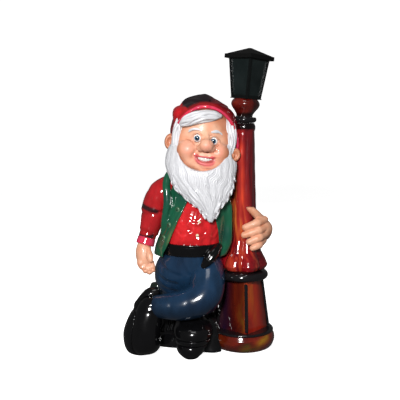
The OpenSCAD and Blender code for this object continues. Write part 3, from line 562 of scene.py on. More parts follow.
def smoked_glass():
    """Dark glass with a faint waviness, a little see-through."""
    material, tree, shader = new_material("smoked_glass")
    tones = [(0.3, (0.004, 0.007, 0.007)), (0.7, (0.010, 0.015, 0.015))]
    tint = ramp(tree, noise(tree, 18, 3), "Fac", tones)
    link(tree, tint, "Color", shader, "Base Color")
    uneven(tree, shader, 26, 0.12, 0.03, 0.10, 30)
    shader.inputs["Alpha"].default_value = 0.93
    return material


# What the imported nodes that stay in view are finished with
FINISHES = {
    "pane": smoked_glass(),
    "bead": moulded("black_bead", (0.008, 0.007, 0.008), (0.05, 0.16), 0, 0.25, 120),
    "iron": moulded("lantern_iron", (0.003, 0.004, 0.004), (0.24, 0.4), 0, 0.35, 190, shine=0.35),
    "roof": moulded("roof_iron", (0.002, 0.002, 0.002), (0.42, 0.6), 0, 0.25, 120, shine=0.25),
    "grey": moulded("grey_zinc", (0.34, 0.35, 0.36), (0.32, 0.5), 0.7, 0.2, 240),
    "steel": moulded("bright_steel", (0.55, 0.55, 0.56), (0.2, 0.34), 1.0, 0.15, 260, 0.1, (1, 1, 6)),
    "brass": moulded("worn_brass", (0.62, 0.42, 0.14), (0.22, 0.4), 1.0, 0.15, 220),
    "rubber": moulded("black_rubber", (0.02, 0.02, 0.02), (0.6, 0.8), 0, 0.3, 260),
    "block": moulded("cream_nylon", (0.68, 0.62, 0.48), (0.4, 0.55), 0, 0.15, 240),
    "wire": moulded("wire_sleeve", (0.20, 0.05, 0.02), (0.35, 0.5), 0, 0.15, 300),
    "white": moulded("holder_glaze", (0.74, 0.73, 0.70), (0.1, 0.2), 0, 0.1, 200, 0.05),
    "opal": moulded("opal_glass", (0.80, 0.78, 0.72), (0.12, 0.22), 0, 0.06, 120, 0.05),
}

# Paint, in linear colours
SKIN = (0.72, 0.39, 0.255)
SKIN_WARM = (0.66, 0.26, 0.14)
BLUSH = (0.72, 0.22, 0.16)
LIP = (0.58, 0.035, 0.075)
WHITE = (0.61, 0.61, 0.63)
HAIR_SHADE = (0.20, 0.20, 0.23)
RED = (0.36, 0.010, 0.012)
RED_BRIGHT = (0.60, 0.016, 0.020)
SLEEVE_RED = (0.40, 0.012, 0.016)
NEAR_BLACK = (0.012, 0.006, 0.008)
PINK = (0.60, 0.035, 0.085)
GREEN = (0.010, 0.092, 0.046)
NAVY = (0.008, 0.028, 0.064)
INK = (0.003, 0.003, 0.0035)
HAT_SHADOW = (0.50, 0.17, 0.08)
CREASE_SHADE = (0.42, 0.13, 0.06)
MOUTH_DARK = (0.34, 0.03, 0.03)
EYE_RIM_SHADE = (0.42, 0.14, 0.08)
FACE_GROOVE_SHADE = (0.40, 0.11, 0.05)
EYE_WHITE = (0.86, 0.84, 0.82)
IRIS_EDGE = (0.01, 0.025, 0.05)
IRIS = (0.02, 0.075, 0.14)
PUPIL = (0.003, 0.003, 0.004)
TOOTH = (0.70, 0.67, 0.62)
TOOTH_GAP_SHADE = (0.42, 0.22, 0.16)
HAND_GROOVE_SHADE = (0.40, 0.08, 0.03)
GREEN_SHADE = (0.006, 0.05, 0.038)
NAVY_SHADE = (0.006, 0.016, 0.04)
NAVY_LOW = (0.003, 0.010, 0.022)
NAVY_GROOVE_SHADE = (0.001, 0.002, 0.005)
STUMP_GREEN = (0.012, 0.022, 0.016)
STUMP_RUST = (0.05, 0.012, 0.006)
MOSS = (0.03, 0.10, 0.04)
RAISED_EDGE_GREY = (0.02, 0.02, 0.022)
BUTTON_CREAM = (0.72, 0.62, 0.42)
BUTTON_GROOVE_SHADE = (0.3, 0.05, 0.03)
BUTTON_GREEN = (0.008, 0.05, 0.028)
BUTTON_RIM_PALE = (0.16, 0.30, 0.16)
GOLD_EDGE = (0.30, 0.28, 0.06)

# ---- Head and face ----

HEAD = [[537, 19, -52, 16, 20, 30], [548, 17, -44, 38, 42, 50], [572, 13, -30, 62, 66, 70],
        [600, 9, -16, 76, 80, 84], [632, 8, -8, 81, 84, 88], [664, 10, -6, 81, 84, 86],
        [694, 12, -6, 76, 78, 78], [718, 13, -8, 60, 62, 62], [736, 15, -12, 36, 38, 38],
        [744, 16, -14, 12, 12, 12]]
EYES = [(-7, -86, 640), (39, -82, 631)]
EYE_RADIUS = 12.0
MOUTH = [(-16, -94, 590), (-4, -99, 581), (14, -103, 576), (32, -100, 575), (44, -91, 584)]
UPPER_LIP = [(-15, -95, 593), (-3, -101, 588.5), (13, -104, 586.5), (30, -101, 584), (43, -92, 587)]
CHEEK_CREASES = [[(-17, -92, 629), (-32, -84, 634), (-48, -70, 633), (-59, -54, 622), (-62, -46, 604)],
                 [(41, -90, 616), (54, -84, 619), (68, -68, 619), (77, -52, 608)]]
LOWER_LIP = [(-12, -93, 583), (-2, -97, 571), (16, -99, 565), (33, -96, 566), (42, -89, 577)]

# Where the face is flushed, and where painted shade darkens it under the nose, below the lip and beside the
# nose: place and size
BLUSH_SPOTS = [((-36, -102, 612), 26), ((57, -97, 600), 24), ((20, -128, 617), 15), ((20, -100, 550), 14)]
SHADE_SPOTS = [((18, -96, 601), 13), ((18, -92, 556), 12), ((-22, -84, 622), 11), ((54, -82, 614), 11)]


def head():
    """The face, ears and neck, with the hollows of the eyes and the open mouth."""
    clay = Clay((-112, -134, 470), (124, 84, 748), 1.5)
    clay.add(loft(HEAD, 8))
    clay.add(rod([[8, 4, 500, 42], [10, 0, 580, 46]]), 14)
    for at, radii in [((-34, -74, 606), (34, 31, 31)), ((53, -70, 595), (32, 31, 32))]:
        clay.add(ball(at, radii), 12)
    for at, radii in [((-24, -62, 576), (32, 32, 26)), ((54, -60, 566), (30, 30, 24)),
                      ((19, -72, 560), (32, 28, 20)), ((-48, -40, 640), (24, 30, 34)),
                      ((66, -36, 628), (24, 30, 34))]:
        clay.add(ball(at, radii), 14)
    for at in EYES:
        clay.cut(ball((at[0], at[1] - 6, at[2]), (15, 14, 16.5)), 4)
    for at, radii in [((18, -114, 620), (20.5, 18, 18)), ((2, -102, 613), (12, 14, 11)),
                      ((32, -101, 611), (12, 14, 11))]:
        clay.add(ball(at, radii), 5.5)
    clay.add(rod([[17, -84, 652, 9], [19, -94, 636, 11], [20, -106, 622, 13]]), 8)
    for x, y, z in EYES:
        side = 1 if x > 10 else -1
        inner = (x - side * 15, y - 7, z - 3)
        outer = (x + side * 15, y + 3, z - 1)
        upper = [[x - side * 5, y - 9, z + 14, 3.0], [x + side * 6, y - 6.5, z + 14, 3.0]]
        lower = [[x - side * 4, y - 8, z - 13.5, 2.4], [x + side * 7, y - 5, z - 13, 2.4]]
        clay.add(rod([[*inner, 2.6], *upper, [*outer, 2.4]]), 4.0)
        clay.add(rod([[*inner, 2.4], *lower, [*outer, 2.2]]), 4.0)
        bag = [(x - side * 14, y - 10, z - 14), (x, y - 14, z - 19), (x + side * 16, y - 4, z - 14)]
        lid = [(x - side * 12, y - 8, z + 17), (x, y - 10, z + 20), (x + side * 14, y - 2, z + 16)]
        clay.fold(bag, -1.8, 2.6)
        clay.fold(lid, -1.3, 2.2)
    for line in ([(0, -96, 612), (-13, -100, 604), (-22, -98, 592), (-22, -92, 580)],
                 [(37, -94, 609), (48, -96, 600), (52, -92, 590), (50, -86, 580)]):
        clay.fold(line, -2.2, 4.2)
    clay.fold([(14, -98, 600), (14, -102, 594), (14, -104, 588)], -1.6, 3.0)
    for line in CHEEK_CREASES:
        clay.fold(line, -2.6, 3.0)
    clay.add(rod([[*p, 2.9 if 0 < i < 4 else 2.2] for i, p in enumerate(UPPER_LIP)]), 3)
    clay.cut(rod([[x, y - 4, z, r] for (x, y, z), r in zip(MOUTH, (1.6, 6.0, 8.0, 6.6, 2.0))]), 2.5)
    clay.add(rod([[*p, 3.7 if 0 < i < 4 else 2.4] for i, p in enumerate(LOWER_LIP)]), 3)
    clay.fold([(2, -92, 556), (18, -95, 551), (34, -90, 556)], -2.4, 4.0)
    for x in (-10, 22, 48):
        z = 677 - 0.2 * x
        clay.fold([(x - 12, -70, z), (x, -78, z + 4), (x + 12, -74, z + 1)], -1.2, 2.2)
    for at, turn, radii in [((-87, -12, 627), 15, (19, 18, 25)), ((102, -40, 590), -15, (17, 15, 20))]:
        side = -1 if at[0] < 0 else 1
        clay.add(ball(at, radii, (0, 6, turn)), 5)
        clay.cut(ball((at[0] + side * 3, at[1] - 15, at[2]), (9, 9, radii[2] * 0.62), (0, 6, turn)), 5)
        clay.add(ball((at[0] - side * 5, at[1] - 14, at[2] - 2), (4.5, 5, 7)), 4)

    def paint(p, n, h):
        colour = plain(SKIN, len(p))
        colour = mixed(colour, SKIN_WARM, 0.5 * step_up(blotches(p, 46, 1), -0.2, 1.0))
        for at, size in BLUSH_SPOTS:
            colour = mixed(colour, BLUSH, 0.55 * near_point(p, at, size))
        x0, z0, rx, rz = FACE_OPENING
        rim = oval(p[:, 0] - x0, p[:, 2] - z0 - 14, rx + 2, rz + 22)
        colour = mixed(colour, HAT_SHADOW, 0.75 * step_up(rim, -17, 2))
        # Painted shade: darker spots under the nose, below the lower lip and beside the nose
        for at, size in SHADE_SPOTS:
            colour = mixed(colour, SKIN_WARM, 0.5 * near_point(p, at, size))
        # Painted shade along the cheek creases
        for line in CHEEK_CREASES:
            colour = mixed(colour, CREASE_SHADE, 0.45 * near_curve(p, line, 3.2))
        for lips, width in ((UPPER_LIP, 3.8), (LOWER_LIP, 5.0)):
            colour = mixed(colour, LIP, 0.92 * np.minimum(1.4 * near_curve(p, lips, width), 1))
        deep = near_curve(p, [(x, y + 4, z) for x, y, z in MOUTH], 7.5)
        colour = mixed(colour, MOUTH_DARK, step_up(deep, 0.35, 0.8) * (n[:, 1] < 0.2))
        # Painted shade round each eye, where the lids meet the eye
        for x, y, z in EYES:
            ring = np.sqrt((p[:, 0] - x) ** 2 + (p[:, 2] - z) ** 2)
            rim = np.exp(-((ring - 12.5) / 1.8) ** 2) * (p[:, 1] < -70)
            colour = mixed(colour, EYE_RIM_SHADE, 0.4 * rim)
        # Painted shade in the face's grooves and hollows
        return mixed(colour, FACE_GROOVE_SHADE, step_up(h, 0.08, 0.9) * 0.75)

    sculpted("head", clay, paint, "skin")


def eyes():
    """Two balls with the iris and the pupil painted on."""
    clay = Clay((-28, -104, 612), (60, -62, 662), 0.8)
    for at in EYES:
        clay.add(ball(at, EYE_RADIUS))

    def paint(p, n, h):
        colour = plain(EYE_WHITE, len(p))
        for (x, y, z), look in zip(EYES, (-1.5, -1.0)):
            out = np.sqrt((p[:, 0] - x - look) ** 2 + (p[:, 2] - z) ** 2)
            front = p[:, 1] < y
            colour = mixed(colour, IRIS_EDGE, step_up(-out, -7.8, -7.2) * front)
            colour = mixed(colour, IRIS, step_up(-out, -6.6, -5.4) * front)
            colour = mixed(colour, PUPIL, step_up(-out, -4.2, -3.6) * front)
        return colour

    sculpted("eyes", clay, paint, "eye", ["eye_right", "eye_left"], relax=1)


def teeth():
    """The upper row shows: eight teeth along the mouth's curve, the middle pair the widest."""
    clay = Clay((-22, -106, 562), (50, -74, 600), 0.8)
    clay.add(ball((14, -86, 580), (30, 10, 9)))
    for i in range(8):
        place = (i - 3.5) / 3.5
        x = 14 + 24 * place
        y = -97 + 8 * place**2
        z = 580 + 4.5 * place**2 - 2.6 * place
        wide = 4.9 - 1.0 * abs(place)
        clay.add(ball((x, y, z + 0.8), (wide, 4.0, 7.6 - 2.6 * abs(place))), 3.2)

    def paint(p, n, h):
        # Painted shade in the gaps between the teeth
        return mixed(plain(TOOTH, len(p)), TOOTH_GAP_SHADE, step_up(h, 0.15, 0.9))

    sculpted("teeth", clay, paint, "eye", relax=1)


# ---- Hair, beard and hat ----

BEARD = [[398, 31, -104, 6, 6, 10], [418, 29, -98, 18, 15, 24], [440, 27, -92, 33, 24, 40],
         [466, 21, -84, 62, 34, 50], [496, 11, -74, 86, 46, 56], [530, 6, -66, 98, 55, 60],
         [560, 3, -56, 105, 60, 60], [588, 2, -46, 103, 60, 56], [608, 3, -42, 98, 54, 40],
         [624, 4, -38, 90, 44, 26]]
FACE_OPENING = (7, 607, 69, 60)  # in the beard: middle X and Z, half width, half height
STRANDS = 54  # over half of the way round, where the beard is widest


def lock(clay, course, radius, tip=0.35):
    """A strand of hair: fullest in its middle, thin at its ends."""
    count = len(course)
    rows = []
    for i, (x, y, z) in enumerate(course):
        swell = math.sin(math.pi * (0.18 + 0.82 * (i / (count - 1)) ** 0.9)) ** 0.6
        rows.append([x, y, z, max(radius * swell, radius * tip)])
    clay.add(rod(rows, 3), 0.4)


def ridges(turns, strand, wide):
    """Rounded strands with sharp grooves between them, fewer of them where the hair is narrow."""
    fine = np.abs(np.sin(turns * strand)) ** 0.75
    middle = np.abs(np.sin(turns * strand / 2 + 0.6)) ** 0.7
    coarse = np.abs(np.sin(turns * strand / 5 + 0.9)) ** 0.6
    share = np.clip((wide - 45) / 45, 0, 1)
    return 1.8 * fine * share + 1.7 * middle * (1.3 - share) + 1.5 * coarse - 3.0


def beard_at(z, *columns):
    """Values of these columns of the beard's stations, at a level."""
    levels = [row[0] for row in BEARD]
    return [np.interp(z, levels, [row[c] for row in BEARD]) for c in columns]


def beard_turns(x, y, z):
    """The angle round the beard that a strand keeps to on its way down, and the half width there."""
    rows = through(BEARD, 6)
    cx, cy, wide, front, back = (np.interp(z, rows[:, 0], rows[:, i]) for i in range(1, 6))
    dy = y - cy
    angle = np.arctan2((x - cx) / wide, -dy / np.where(dy < 0, front, back))
    x0, z0, rx, rz = FACE_OPENING
    edge = np.maximum(oval(x - x0, z - z0, rx, rz), 0)
    fan = 1 - 0.30 * np.exp(-edge / 26)
    sway = 0.075 * np.sin(z / 19 + 2.3 * angle) + 0.035 * np.sin(z / 8.5 + 7 * angle + 1)
    return angle * fan + sway * np.clip((wide - 20) / 80, 0.2, 1), wide


def beard():
    clay = Clay((-118, -138, 388), (128, 26, 642), 1.3)
    clay.add(loft(BEARD, 6, -0.6))

    def strands(x, y, z):
        turns, wide = beard_turns(x, y, z)
        return ridges(turns, STRANDS, wide)

    clay.waves(strands)
    x0, z0, rx, rz = FACE_OPENING
    clay.cut(Form((x0 - rx, -140, z0 - rz), (x0 + rx, 20, z0 + rz),
                  lambda x, y, z: np.maximum(oval(x - x0, z - z0, rx, rz), y - 20)), 5)
    clay.cut(ball((108, -50, 594), (19, 50, 24)), 4)
    draw = np.random.default_rng(11)
    for i in range(22):
        t = (i + draw.uniform(0.2, 0.8)) / 22
        angle = -1.3 + 2.6 * t
        top, length = draw.uniform(460, 540), draw.uniform(60, 100)
        course = []
        for k in np.linspace(0, 1, 8):
            z = max(top - length * k, 404 + 30 * abs(angle))
            middle, wide = beard_at(z, 1, 3)
            x = middle + wide * 0.96 * math.sin(angle + 0.05 * math.sin(9 * k + 5 * t))
            course.append((x, clay.front(x, z) + 0.8, z))
        lock(clay, course, draw.uniform(2.6, 3.8), 0.3)
    for i in range(20):
        side = -1 if i % 2 else 1
        top = 545 - 6.4 * i
        length = draw.uniform(30, 44)
        course = []
        for k in np.linspace(0, 1, 6):
            z = max(top - length * k, 412)
            middle, y, wide = beard_at(z, 1, 2, 3)
            x = middle + side * (wide * (0.84 + 0.16 * k) + 2.5 * k)
            course.append((x, max(clay.front(x, z), y - 40) + 1.5 if k < 0.7 else y - 16, z))
        lock(clay, course, draw.uniform(2.6, 3.6), 0.2)

    def paint(p, n, h):
        turns, wide = beard_turns(p[:, 0], p[:, 1], p[:, 2])
        # Painted shade: grey in the grooves between the strands and in the hollows
        groove = step_up(-ridges(turns, STRANDS, wide), 0.2, 2.2)
        colour = mixed(plain(WHITE, len(p)), HAIR_SHADE, 0.5 * groove)
        return mixed(colour, HAIR_SHADE, step_up(h, 0.1, 1.0) * 0.6)

    sculpted("beard", clay, paint, "hair", relax=1, crumbs=True)


HAT = [[592, 8, 14, 84, 60, 82], [628, 10, 6, 95, 90, 96], [662, 12, 0, 101, 98, 100],
       [692, 13, -4, 95, 92, 92], [714, 14, -7, 84, 82, 82], [732, 14, -10, 65, 66, 68],
       [746, 14, -14, 44, 46, 48], [757, 15, -17, 24, 26, 28], [767, 16, -19, 6, 7, 7]]
HAT_TIP = (-58, 16, 709)
HAT_TIP_FRONT = (-57, -22, 707)


def hat():
    """The cap. Gives the course of the edge round the face."""
    clay = Clay((-98, -112, 586), (126, 112, 772), 1.7)
    clay.add(loft(HAT, 8))
    clay.add(rod([[-2, -6, 738, 28], [-30, 4, 733, 25], [-48, 12, 722, 18]]), 16)
    clay.add(ball(HAT_TIP, (25, 26, 26)), 3)
    clay.add(ball(HAT_TIP_FRONT, (24, 34, 24)), 4)
    clay.cut(Form((-76, -200, 497), (104, 2, 731),
                  lambda x, y, z: np.maximum(oval(x - 15, z - 614, 94, 113), y - 2)), 5)
    for line in ([(-10, -60, 742), (-38, -26, 746), (-58, -10, 730), (-64, -18, 712)],
                 [(2, -72, 728), (-26, -48, 724), (-48, -16, 704), (-62, -10, 690)],
                 [(22, -78, 726), (34, -52, 750), (46, -18, 758), (48, 20, 748)],
                 [(66, -66, 700), (84, -40, 708), (92, -2, 700), (86, 40, 690)],
                 [(60, -50, 735), (80, -20, 728), (92, 20, 712)]):
        clay.fold(line, -3.0, 4.5)
    for line in ([(2, -60, 748), (-24, -30, 752), (-46, -8, 744)],
                 [(40, -66, 734), (62, -44, 738), (80, -10, 730)],
                 [(96, -26, 690), (104, 10, 676), (98, 50, 660)]):
        clay.fold(line, 2.6, 5.5)
    clay.waves(lambda x, y, z: 0.7 * np.sin(x / 13 + z / 17) * np.sin(y / 15 + z / 11))

    def paint(p, n, h):
        deep_red = (0.20, 0.007, 0.012)
        ragged = 9 * blotches(p, 70, 2)
        colour = mixed(plain(NEAR_BLACK, len(p)), deep_red, 0.9 * step_up(p[:, 0] + ragged, 26, 62))
        colour = mixed(colour, deep_red, step_up(-p[:, 2] + ragged, -716, -690) * (p[:, 0] < 40))
        colour = mixed(colour, RED, 0.8 * step_up(-p[:, 2] + ragged, -690, -640))
        tip = np.linalg.norm(p - np.array(HAT_TIP), axis=1)
        colour = mixed(colour, RED_BRIGHT, step_up(-tip, -42, -30))
        front = oval(p[:, 0] - HAT_TIP_FRONT[0], p[:, 2] - HAT_TIP_FRONT[2], 27, 26)
        colour = mixed(colour, (0.45, 0.010, 0.014), step_up(-front, -3, 3) * (p[:, 1] < 20))
        around = np.sqrt(((p[:, 0] - 14) / 92) ** 2 + ((p[:, 2] - 614) / 119) ** 2)
        return mixed(colour, RED, 0.7 * step_up(-around, -1.12, -1.04) * (p[:, 1] < 10))

    edge = []
    for a in np.radians(np.linspace(-6, 186, 17)):
        across, up = math.cos(a), math.sin(a)
        y = clay.front(15 + 97.85 * across, 614 + 118.45 * up)
        edge.append([15 + 95 * across, min(max(y - 1, -88), -30 - 34 * up), 614 + 115 * up])
    sculpted("hat", clay, paint, "red", crumbs=True)
    return edge


def hat_brim(edge):
    """The rolled edge round the face, pinched a little here and there."""
    clay = Clay((-94, -96, 576), (122, -2, 746), 1.3)
    clay.add(rod([[*at, 5.0 + 0.5 * math.sin(0.9 * i)] for i, at in enumerate(edge)], 5))

    def crease(x, y, z):
        around = np.arctan2(z - 614, x - 14)
        return 0.55 * np.sin(around * 31 + 2 * np.sin(around * 5)) * np.sin(around * 2 + 1)

    clay.waves(crease)

    def paint(p, n, h):
        return mixed(plain(PINK, len(p)), RED_BRIGHT, 0.6 * step_up(blotches(p, 50, 3), -0.2, 1.0))

    sculpted("hat_brim", clay, paint, "red")


def hair_paint(p, n, h):
    # Painted shade: grey in the grooves between the strands
    return mixed(plain(WHITE, len(p)), HAIR_SHADE, step_up(h, 0.05, 1.1) * 0.8)


def tress(name, course, count, spread, radius, seed):
    """A hank of hair: strands that run side by side along one course, their places round it seeded."""
    rows = np.array(through(course, 4))
    clay = Clay(rows[:, :3].min(0) - 24, rows[:, :3].max(0) + 24, 1.1)
    body = rows.copy()
    body[:, 3] *= 0.72
    r = body[:, 3].max()
    clay.add(Form(body[:, :3].min(0) - r, body[:, :3].max(0) + r, lambda x, y, z: chain(body, x, y, z)))
    draw = np.random.default_rng(seed)
    for i in range(count):
        angle = 2 * math.pi * (i + draw.uniform(-0.25, 0.25)) / count
        swing, phase = draw.uniform(0.1, 0.4), draw.uniform(0, 6)
        path = []
        for k, (x, y, z, thick) in enumerate(rows):
            ahead = rows[min(k + 1, len(rows) - 1), :3] - rows[max(k - 1, 0), :3]
            ahead = Vector(ahead).normalized()
            side = ahead.cross(Vector((0, 1, 0))).normalized()
            lift = side.cross(ahead)
            turn = angle + swing * math.sin(phase + 0.5 * k)
            out = max(thick * spread - radius * 0.5, 0.5)
            round_about = side * out * math.cos(turn) + lift * out * math.sin(turn)
            path.append(tuple(Vector((x, y, z)) + round_about))
        lock(clay, path, radius * draw.uniform(0.85, 1.15))

    sculpted(name, clay, hair_paint, "hair", relax=1)


def hair():
    tress("hair_fringe", [(-52, -76, 680, 10), (-40, -83, 688, 17), (-16, -90, 697, 20), (12, -90, 702, 20),
                          (38, -83, 704, 18), (56, -75, 703, 10)], 13, 0.84, 4.4, 4)
    tress("hair_right", [(-56, -50, 692, 14), (-64, -53, 664, 16), (-68, -54, 632, 16), (-72, -54, 598, 16)],
          9, 0.9, 4.2, 5)
    tress("hair_left", [(84, -42, 690, 13), (90, -46, 660, 16), (91, -48, 628, 16), (86, -52, 596, 13)],
          9, 0.9, 4.2, 6)
    clay = Clay((-94, -40, 532), (110, 108, 612), 1.7)
    clay.add(loft([[540, 8, 22, 52, 10, 44], [556, 8, 20, 72, 20, 62], [580, 8, 16, 88, 30, 76],
                   [604, 8, 12, 94, 34, 88]], 4, -2))

    def locks(x, y, z):
        around = np.arctan2(y - 16, x - 8)
        return 2.2 * np.abs(np.sin(around * 15 + 0.5 * np.sin(z / 9))) - 0.8

    clay.waves(locks)
    sculpted("hair_back", clay, hair_paint, "hair", relax=1)
    brows = Clay((-42, -104, 640), (72, -66, 678), 0.9)
    for course in ([(-32, -86, 660), (-22, -91, 664), (-10, -93.5, 666), (6, -94, 661)],
                   [(33, -90, 656), (46, -86, 658), (56, -80, 655), (64, -75, 649)]):
        for i in range(3):
            hairs = [(x, y + 1.4, z - 1.2 + 2.0 * i + math.sin(x / 4 + i)) for x, y, z in course]
            lock(brows, hairs, 1.9, 0.4)
    sculpted("eyebrows", brows, hair_paint, "hair", relax=1)


# ---- Clothes and hands ----

TORSO = [[301, -22, -5, 86, 74, 64], [350, -18, -6, 91, 80, 66], [400, -11, -4, 92, 76, 66],
         [440, -4, 0, 92, 68, 64], [478, 0, 2, 92, 60, 60], [508, 4, 3, 82, 52, 54],
         [530, 6, 3, 60, 44, 48], [546, 7, 3, 44, 36, 40]]
WAISTCOAT = [[284, -28, 0, 112, 84, 76], [312, -26, -3, 110, 88, 76], [350, -20, -5, 102, 90, 75],
             [400, -11, -3, 99, 84, 74], [440, -4, 0, 99, 76, 72], [478, 0, 2, 99, 67, 68],
             [508, 4, 3, 89, 59, 62], [530, 6, 3, 68, 52, 56], [543, 7, 3, 52, 44, 48]]
PANEL_EDGE = [(-20, 570), (-38, 455), (-74, 374), (-98, 318), (-112, 292), (-104, 270), (58, 270),
              (60, 296), (54, 360), (44, 413), (40, 570)]


# Where the shirt sags between its folds, as x, z on its front
SHIRT_SWAGS = [
    [(-70, 368), (-58, 354), (-44, 352), (-30, 364)], [(-30, 364), (-14, 346), (4, 345), (18, 362)],
    [(18, 362), (30, 350), (42, 350), (52, 368)], [(-34, 406), (-20, 391), (-4, 390), (12, 408)],
    [(-58, 400), (-50, 388), (-40, 386), (-34, 396)],
]


def shirt():
    """The shirt's front falls in scalloped folds that hang from the chest to the belt."""
    clay = Clay((-118, -96, 298), (100, 76, 550), 1.9)
    clay.add(loft(TORSO, 5))
    way_down = np.linspace(0, 1, 6)
    for top, bottom, depth in ((-34, -70, 2.6), (-16, -44, 2.8), (4, -20, 3.0), (22, 8, 3.0),
                               (38, 32, 2.6)):
        line = [(top + (bottom - top) * t + 5 * math.sin(3.4 * t + top), 436 - 128 * t) for t in way_down]
        clay.fold(clay.drawn(line, 1), -0.6 * depth, 6)
    for top, bottom in ((-24, -58), (-6, -32), (13, -6), (30, 20)):
        line = [(top + (bottom - top) * t + 4 * math.sin(4 * t + top), 426 - 112 * t) for t in way_down]
        clay.fold(clay.drawn(line), 1.6, 9.0)
    for swag in SHIRT_SWAGS:
        clay.fold(clay.drawn(swag), 2.0, 4.5)
        clay.fold(clay.drawn([(x, z + 9) for x, z in swag]), -1.5, 4.0)

    def paint(p, n, h):
        colour = mixed(plain(RED_BRIGHT, len(p)), RED, 0.7 * step_up(blotches(p, 40, 4), -0.1, 1.0))
        # Painted shade: the grooves between the folds go towards black
        return mixed(colour, NEAR_BLACK, step_up(h, 0.1, 1.5) * 0.75)

    sculpted("shirt_torso", clay, paint, "red", relax=6)
    buttons = Clay((-16, -98, 350), (6, -74, 404), 0.7)
    for at in ((-2, -81, 396), (-8, -87, 358)):
        buttons.add(ball(at, (4.5, 3.4, 4.5)))
        buttons.fold([(at[0] - 2.4, at[1] - 3, at[2]), (at[0] + 2.4, at[1] - 3, at[2])], -0.5, 0.9)

    def cream(p, n, h):
        # Painted shade in the buttons' grooves and holes
        return mixed(plain(BUTTON_CREAM, len(p)), BUTTON_GROOVE_SHADE, step_up(h, 0.1, 0.6))

    sculpted("shirt_buttons", buttons, cream, "eye", relax=1)


def waistcoat():
    """A hollow waistcoat, open in front, with folds, a rim round the armhole and three buttons."""
    clay = Clay((-146, -98, 280), (96, 80, 548), 1.9)
    clay.add(loft(WAISTCOAT, 3))
    clay.cut(loft(WAISTCOAT, 0, -7.5))
    clay.cut(panel(PANEL_EDGE, -130, 10), 3)
    clay.add(rod([[80, -36, 452, 10], [86, -34, 420, 15], [88, -32, 380, 17], [80, -36, 330, 16],
                  [72, -38, 300, 10]]), 10)
    clay.add(rod([[-92, -12, 530, 11], [-99, -30, 510, 12], [-98, -43, 480, 12], [-97, -47, 445, 12],
                  [-104, -42, 405, 11], [-110, -32, 360, 9]]), 9)
    for level in (544, 282):
        clay.cut(slab(level - 5, level + 5))
    left_edge = [(-30, 452), (-44, 430), (-60, 402), (-82, 360), (-102, 318)]
    clay.fold([(x - 7, clay.front(x - 9, z), z) for x, z in left_edge], 2.2, 3.4)
    clay.fold([(x - 14, clay.front(x - 15, z), z) for x, z in left_edge], -1.4, 2.4)
    for line in ([(-88, -52, 430), (-100, -40, 396), (-112, -30, 350)],
                 [(-104, -20, 452), (-108, -10, 400), (-116, 4, 340)],
                 [(-60, -70, 470), (-78, -60, 440), (-90, -50, 400)]):
        clay.fold(line, -1.8, 4.5)
    clay.waves(lambda x, y, z: 0.7 * np.sin(x / 12 + z / 21) * np.sin(z / 14 + y / 17))

    def paint(p, n, h):
        shaded = step_up(blotches(p, 110, 6), -0.3, 1.2)
        colour = mixed(plain(GREEN, len(p)), GREEN_SHADE, 0.7 * shaded)
        edge = near_curve(p, [(x - 2, -62 - 0.1 * (440 - z), z) for x, z in left_edge], 5)
        return mixed(colour, GOLD_EDGE, 0.28 * edge)

    places = ((-66, 430, -38), (-91, 384, -50), (-108, 344, -58))
    seats = [(x, clay.front(x, z) - 0.5, z, turn) for x, z, turn in places]
    sculpted("waistcoat", clay, paint, "green", relax=5)
    buttons = Clay((-124, -94, 330), (-54, -30, 442), 0.9)
    for x, y, z, turn in seats:
        out = Vector((math.sin(math.radians(turn)), -math.cos(math.radians(turn)), 0))
        buttons.add(ball((x, y, z), (8, 4.6, 8), (0, 0, turn)))
        buttons.cut(ball(Vector((x, y, z)) + out * 6.4, (6.2, 3.4, 6.2), (0, 0, turn)), 1.2)
        buttons.add(ball(Vector((x, y, z)) + out * 2.2, (3.2, 2.0, 3.2), (0, 0, turn)), 1.0)

    def rimmed(p, n, h):
        # Paler on the raised rim and middle of each button
        return mixed(plain(BUTTON_GREEN, len(p)), BUTTON_RIM_PALE, step_up(-h, 0.0, 0.4) * 0.9)

    sculpted("waistcoat_buttons", buttons, rimmed, "green", relax=1)


SLEEVES = {
    "right": [[-84, 4, 496, 34], [-114, 2, 472, 41], [-134, 1, 436, 40], [-144, -4, 396, 35],
              [-154, -11, 358, 29], [-162, -17, 334, 25]],
    "left": [[64, 10, 488, 38], [92, 34, 446, 35], [118, 66, 396, 31], [152, 78, 352, 28],
             [180, 62, 332, 25]],
}
CUFFS = {
    "right": [[-161, -17, 336, 27], [-165, -20, 322, 28]],
    "left": [[176, 64, 333, 28], [188, 50, 330, 28]],
}
# Creases across each sleeve: share of the way along, depth, width, sweep round the arm
CREASES = {
    "right": [(0.50, 3.2, 5.0, -0.35), (0.30, 1.2, 9, 0.4), (0.86, 2.4, 4.5, 0.1)],
    "left": [(0.24, 2.0, 7, 0.4), (0.46, 2.6, 6, -0.3), (0.66, 2.2, 6, 0.4), (0.85, 2.0, 5, -0.3)],
}
# The black bands painted across the right sleeve
SLEEVE_BANDS = [([(-177, -2, 438), (-168, -24, 434), (-152, -37, 428), (-128, -40, 420)], 6.5),
                ([(-186, -16, 350), (-177, -34, 345), (-160, -41, 343), (-142, -36, 346)], 5.5)]


def ringed(clay, course, share, depth, width, sweep):
    """A crease that winds half round a limb's front and outer side."""
    rows = through(course, 8)
    at = share * (len(rows) - 1)
    k = int(at)
    centre = rows[k, :3]
    ahead = Vector(rows[min(k + 2, len(rows) - 1), :3] - rows[max(k - 2, 0), :3]).normalized()
    side = ahead.cross(Vector((0, 1, 0))).normalized()
    face = side.cross(ahead)
    r = rows[k, 3]
    points = []
    for a in np.linspace(-0.35, math.pi + 0.35, 9):
        out = side * r * math.cos(a) + face * r * math.sin(a) * (1 if face.y < 0 else -1)
        points.append(tuple(Vector(centre) + out + ahead * r * sweep * math.cos(a * 1.3)))
    clay.fold(points, -depth, width)
    clay.fold([tuple(Vector(p) - ahead * width * 1.9) for p in points], depth * 0.55, width * 1.1)


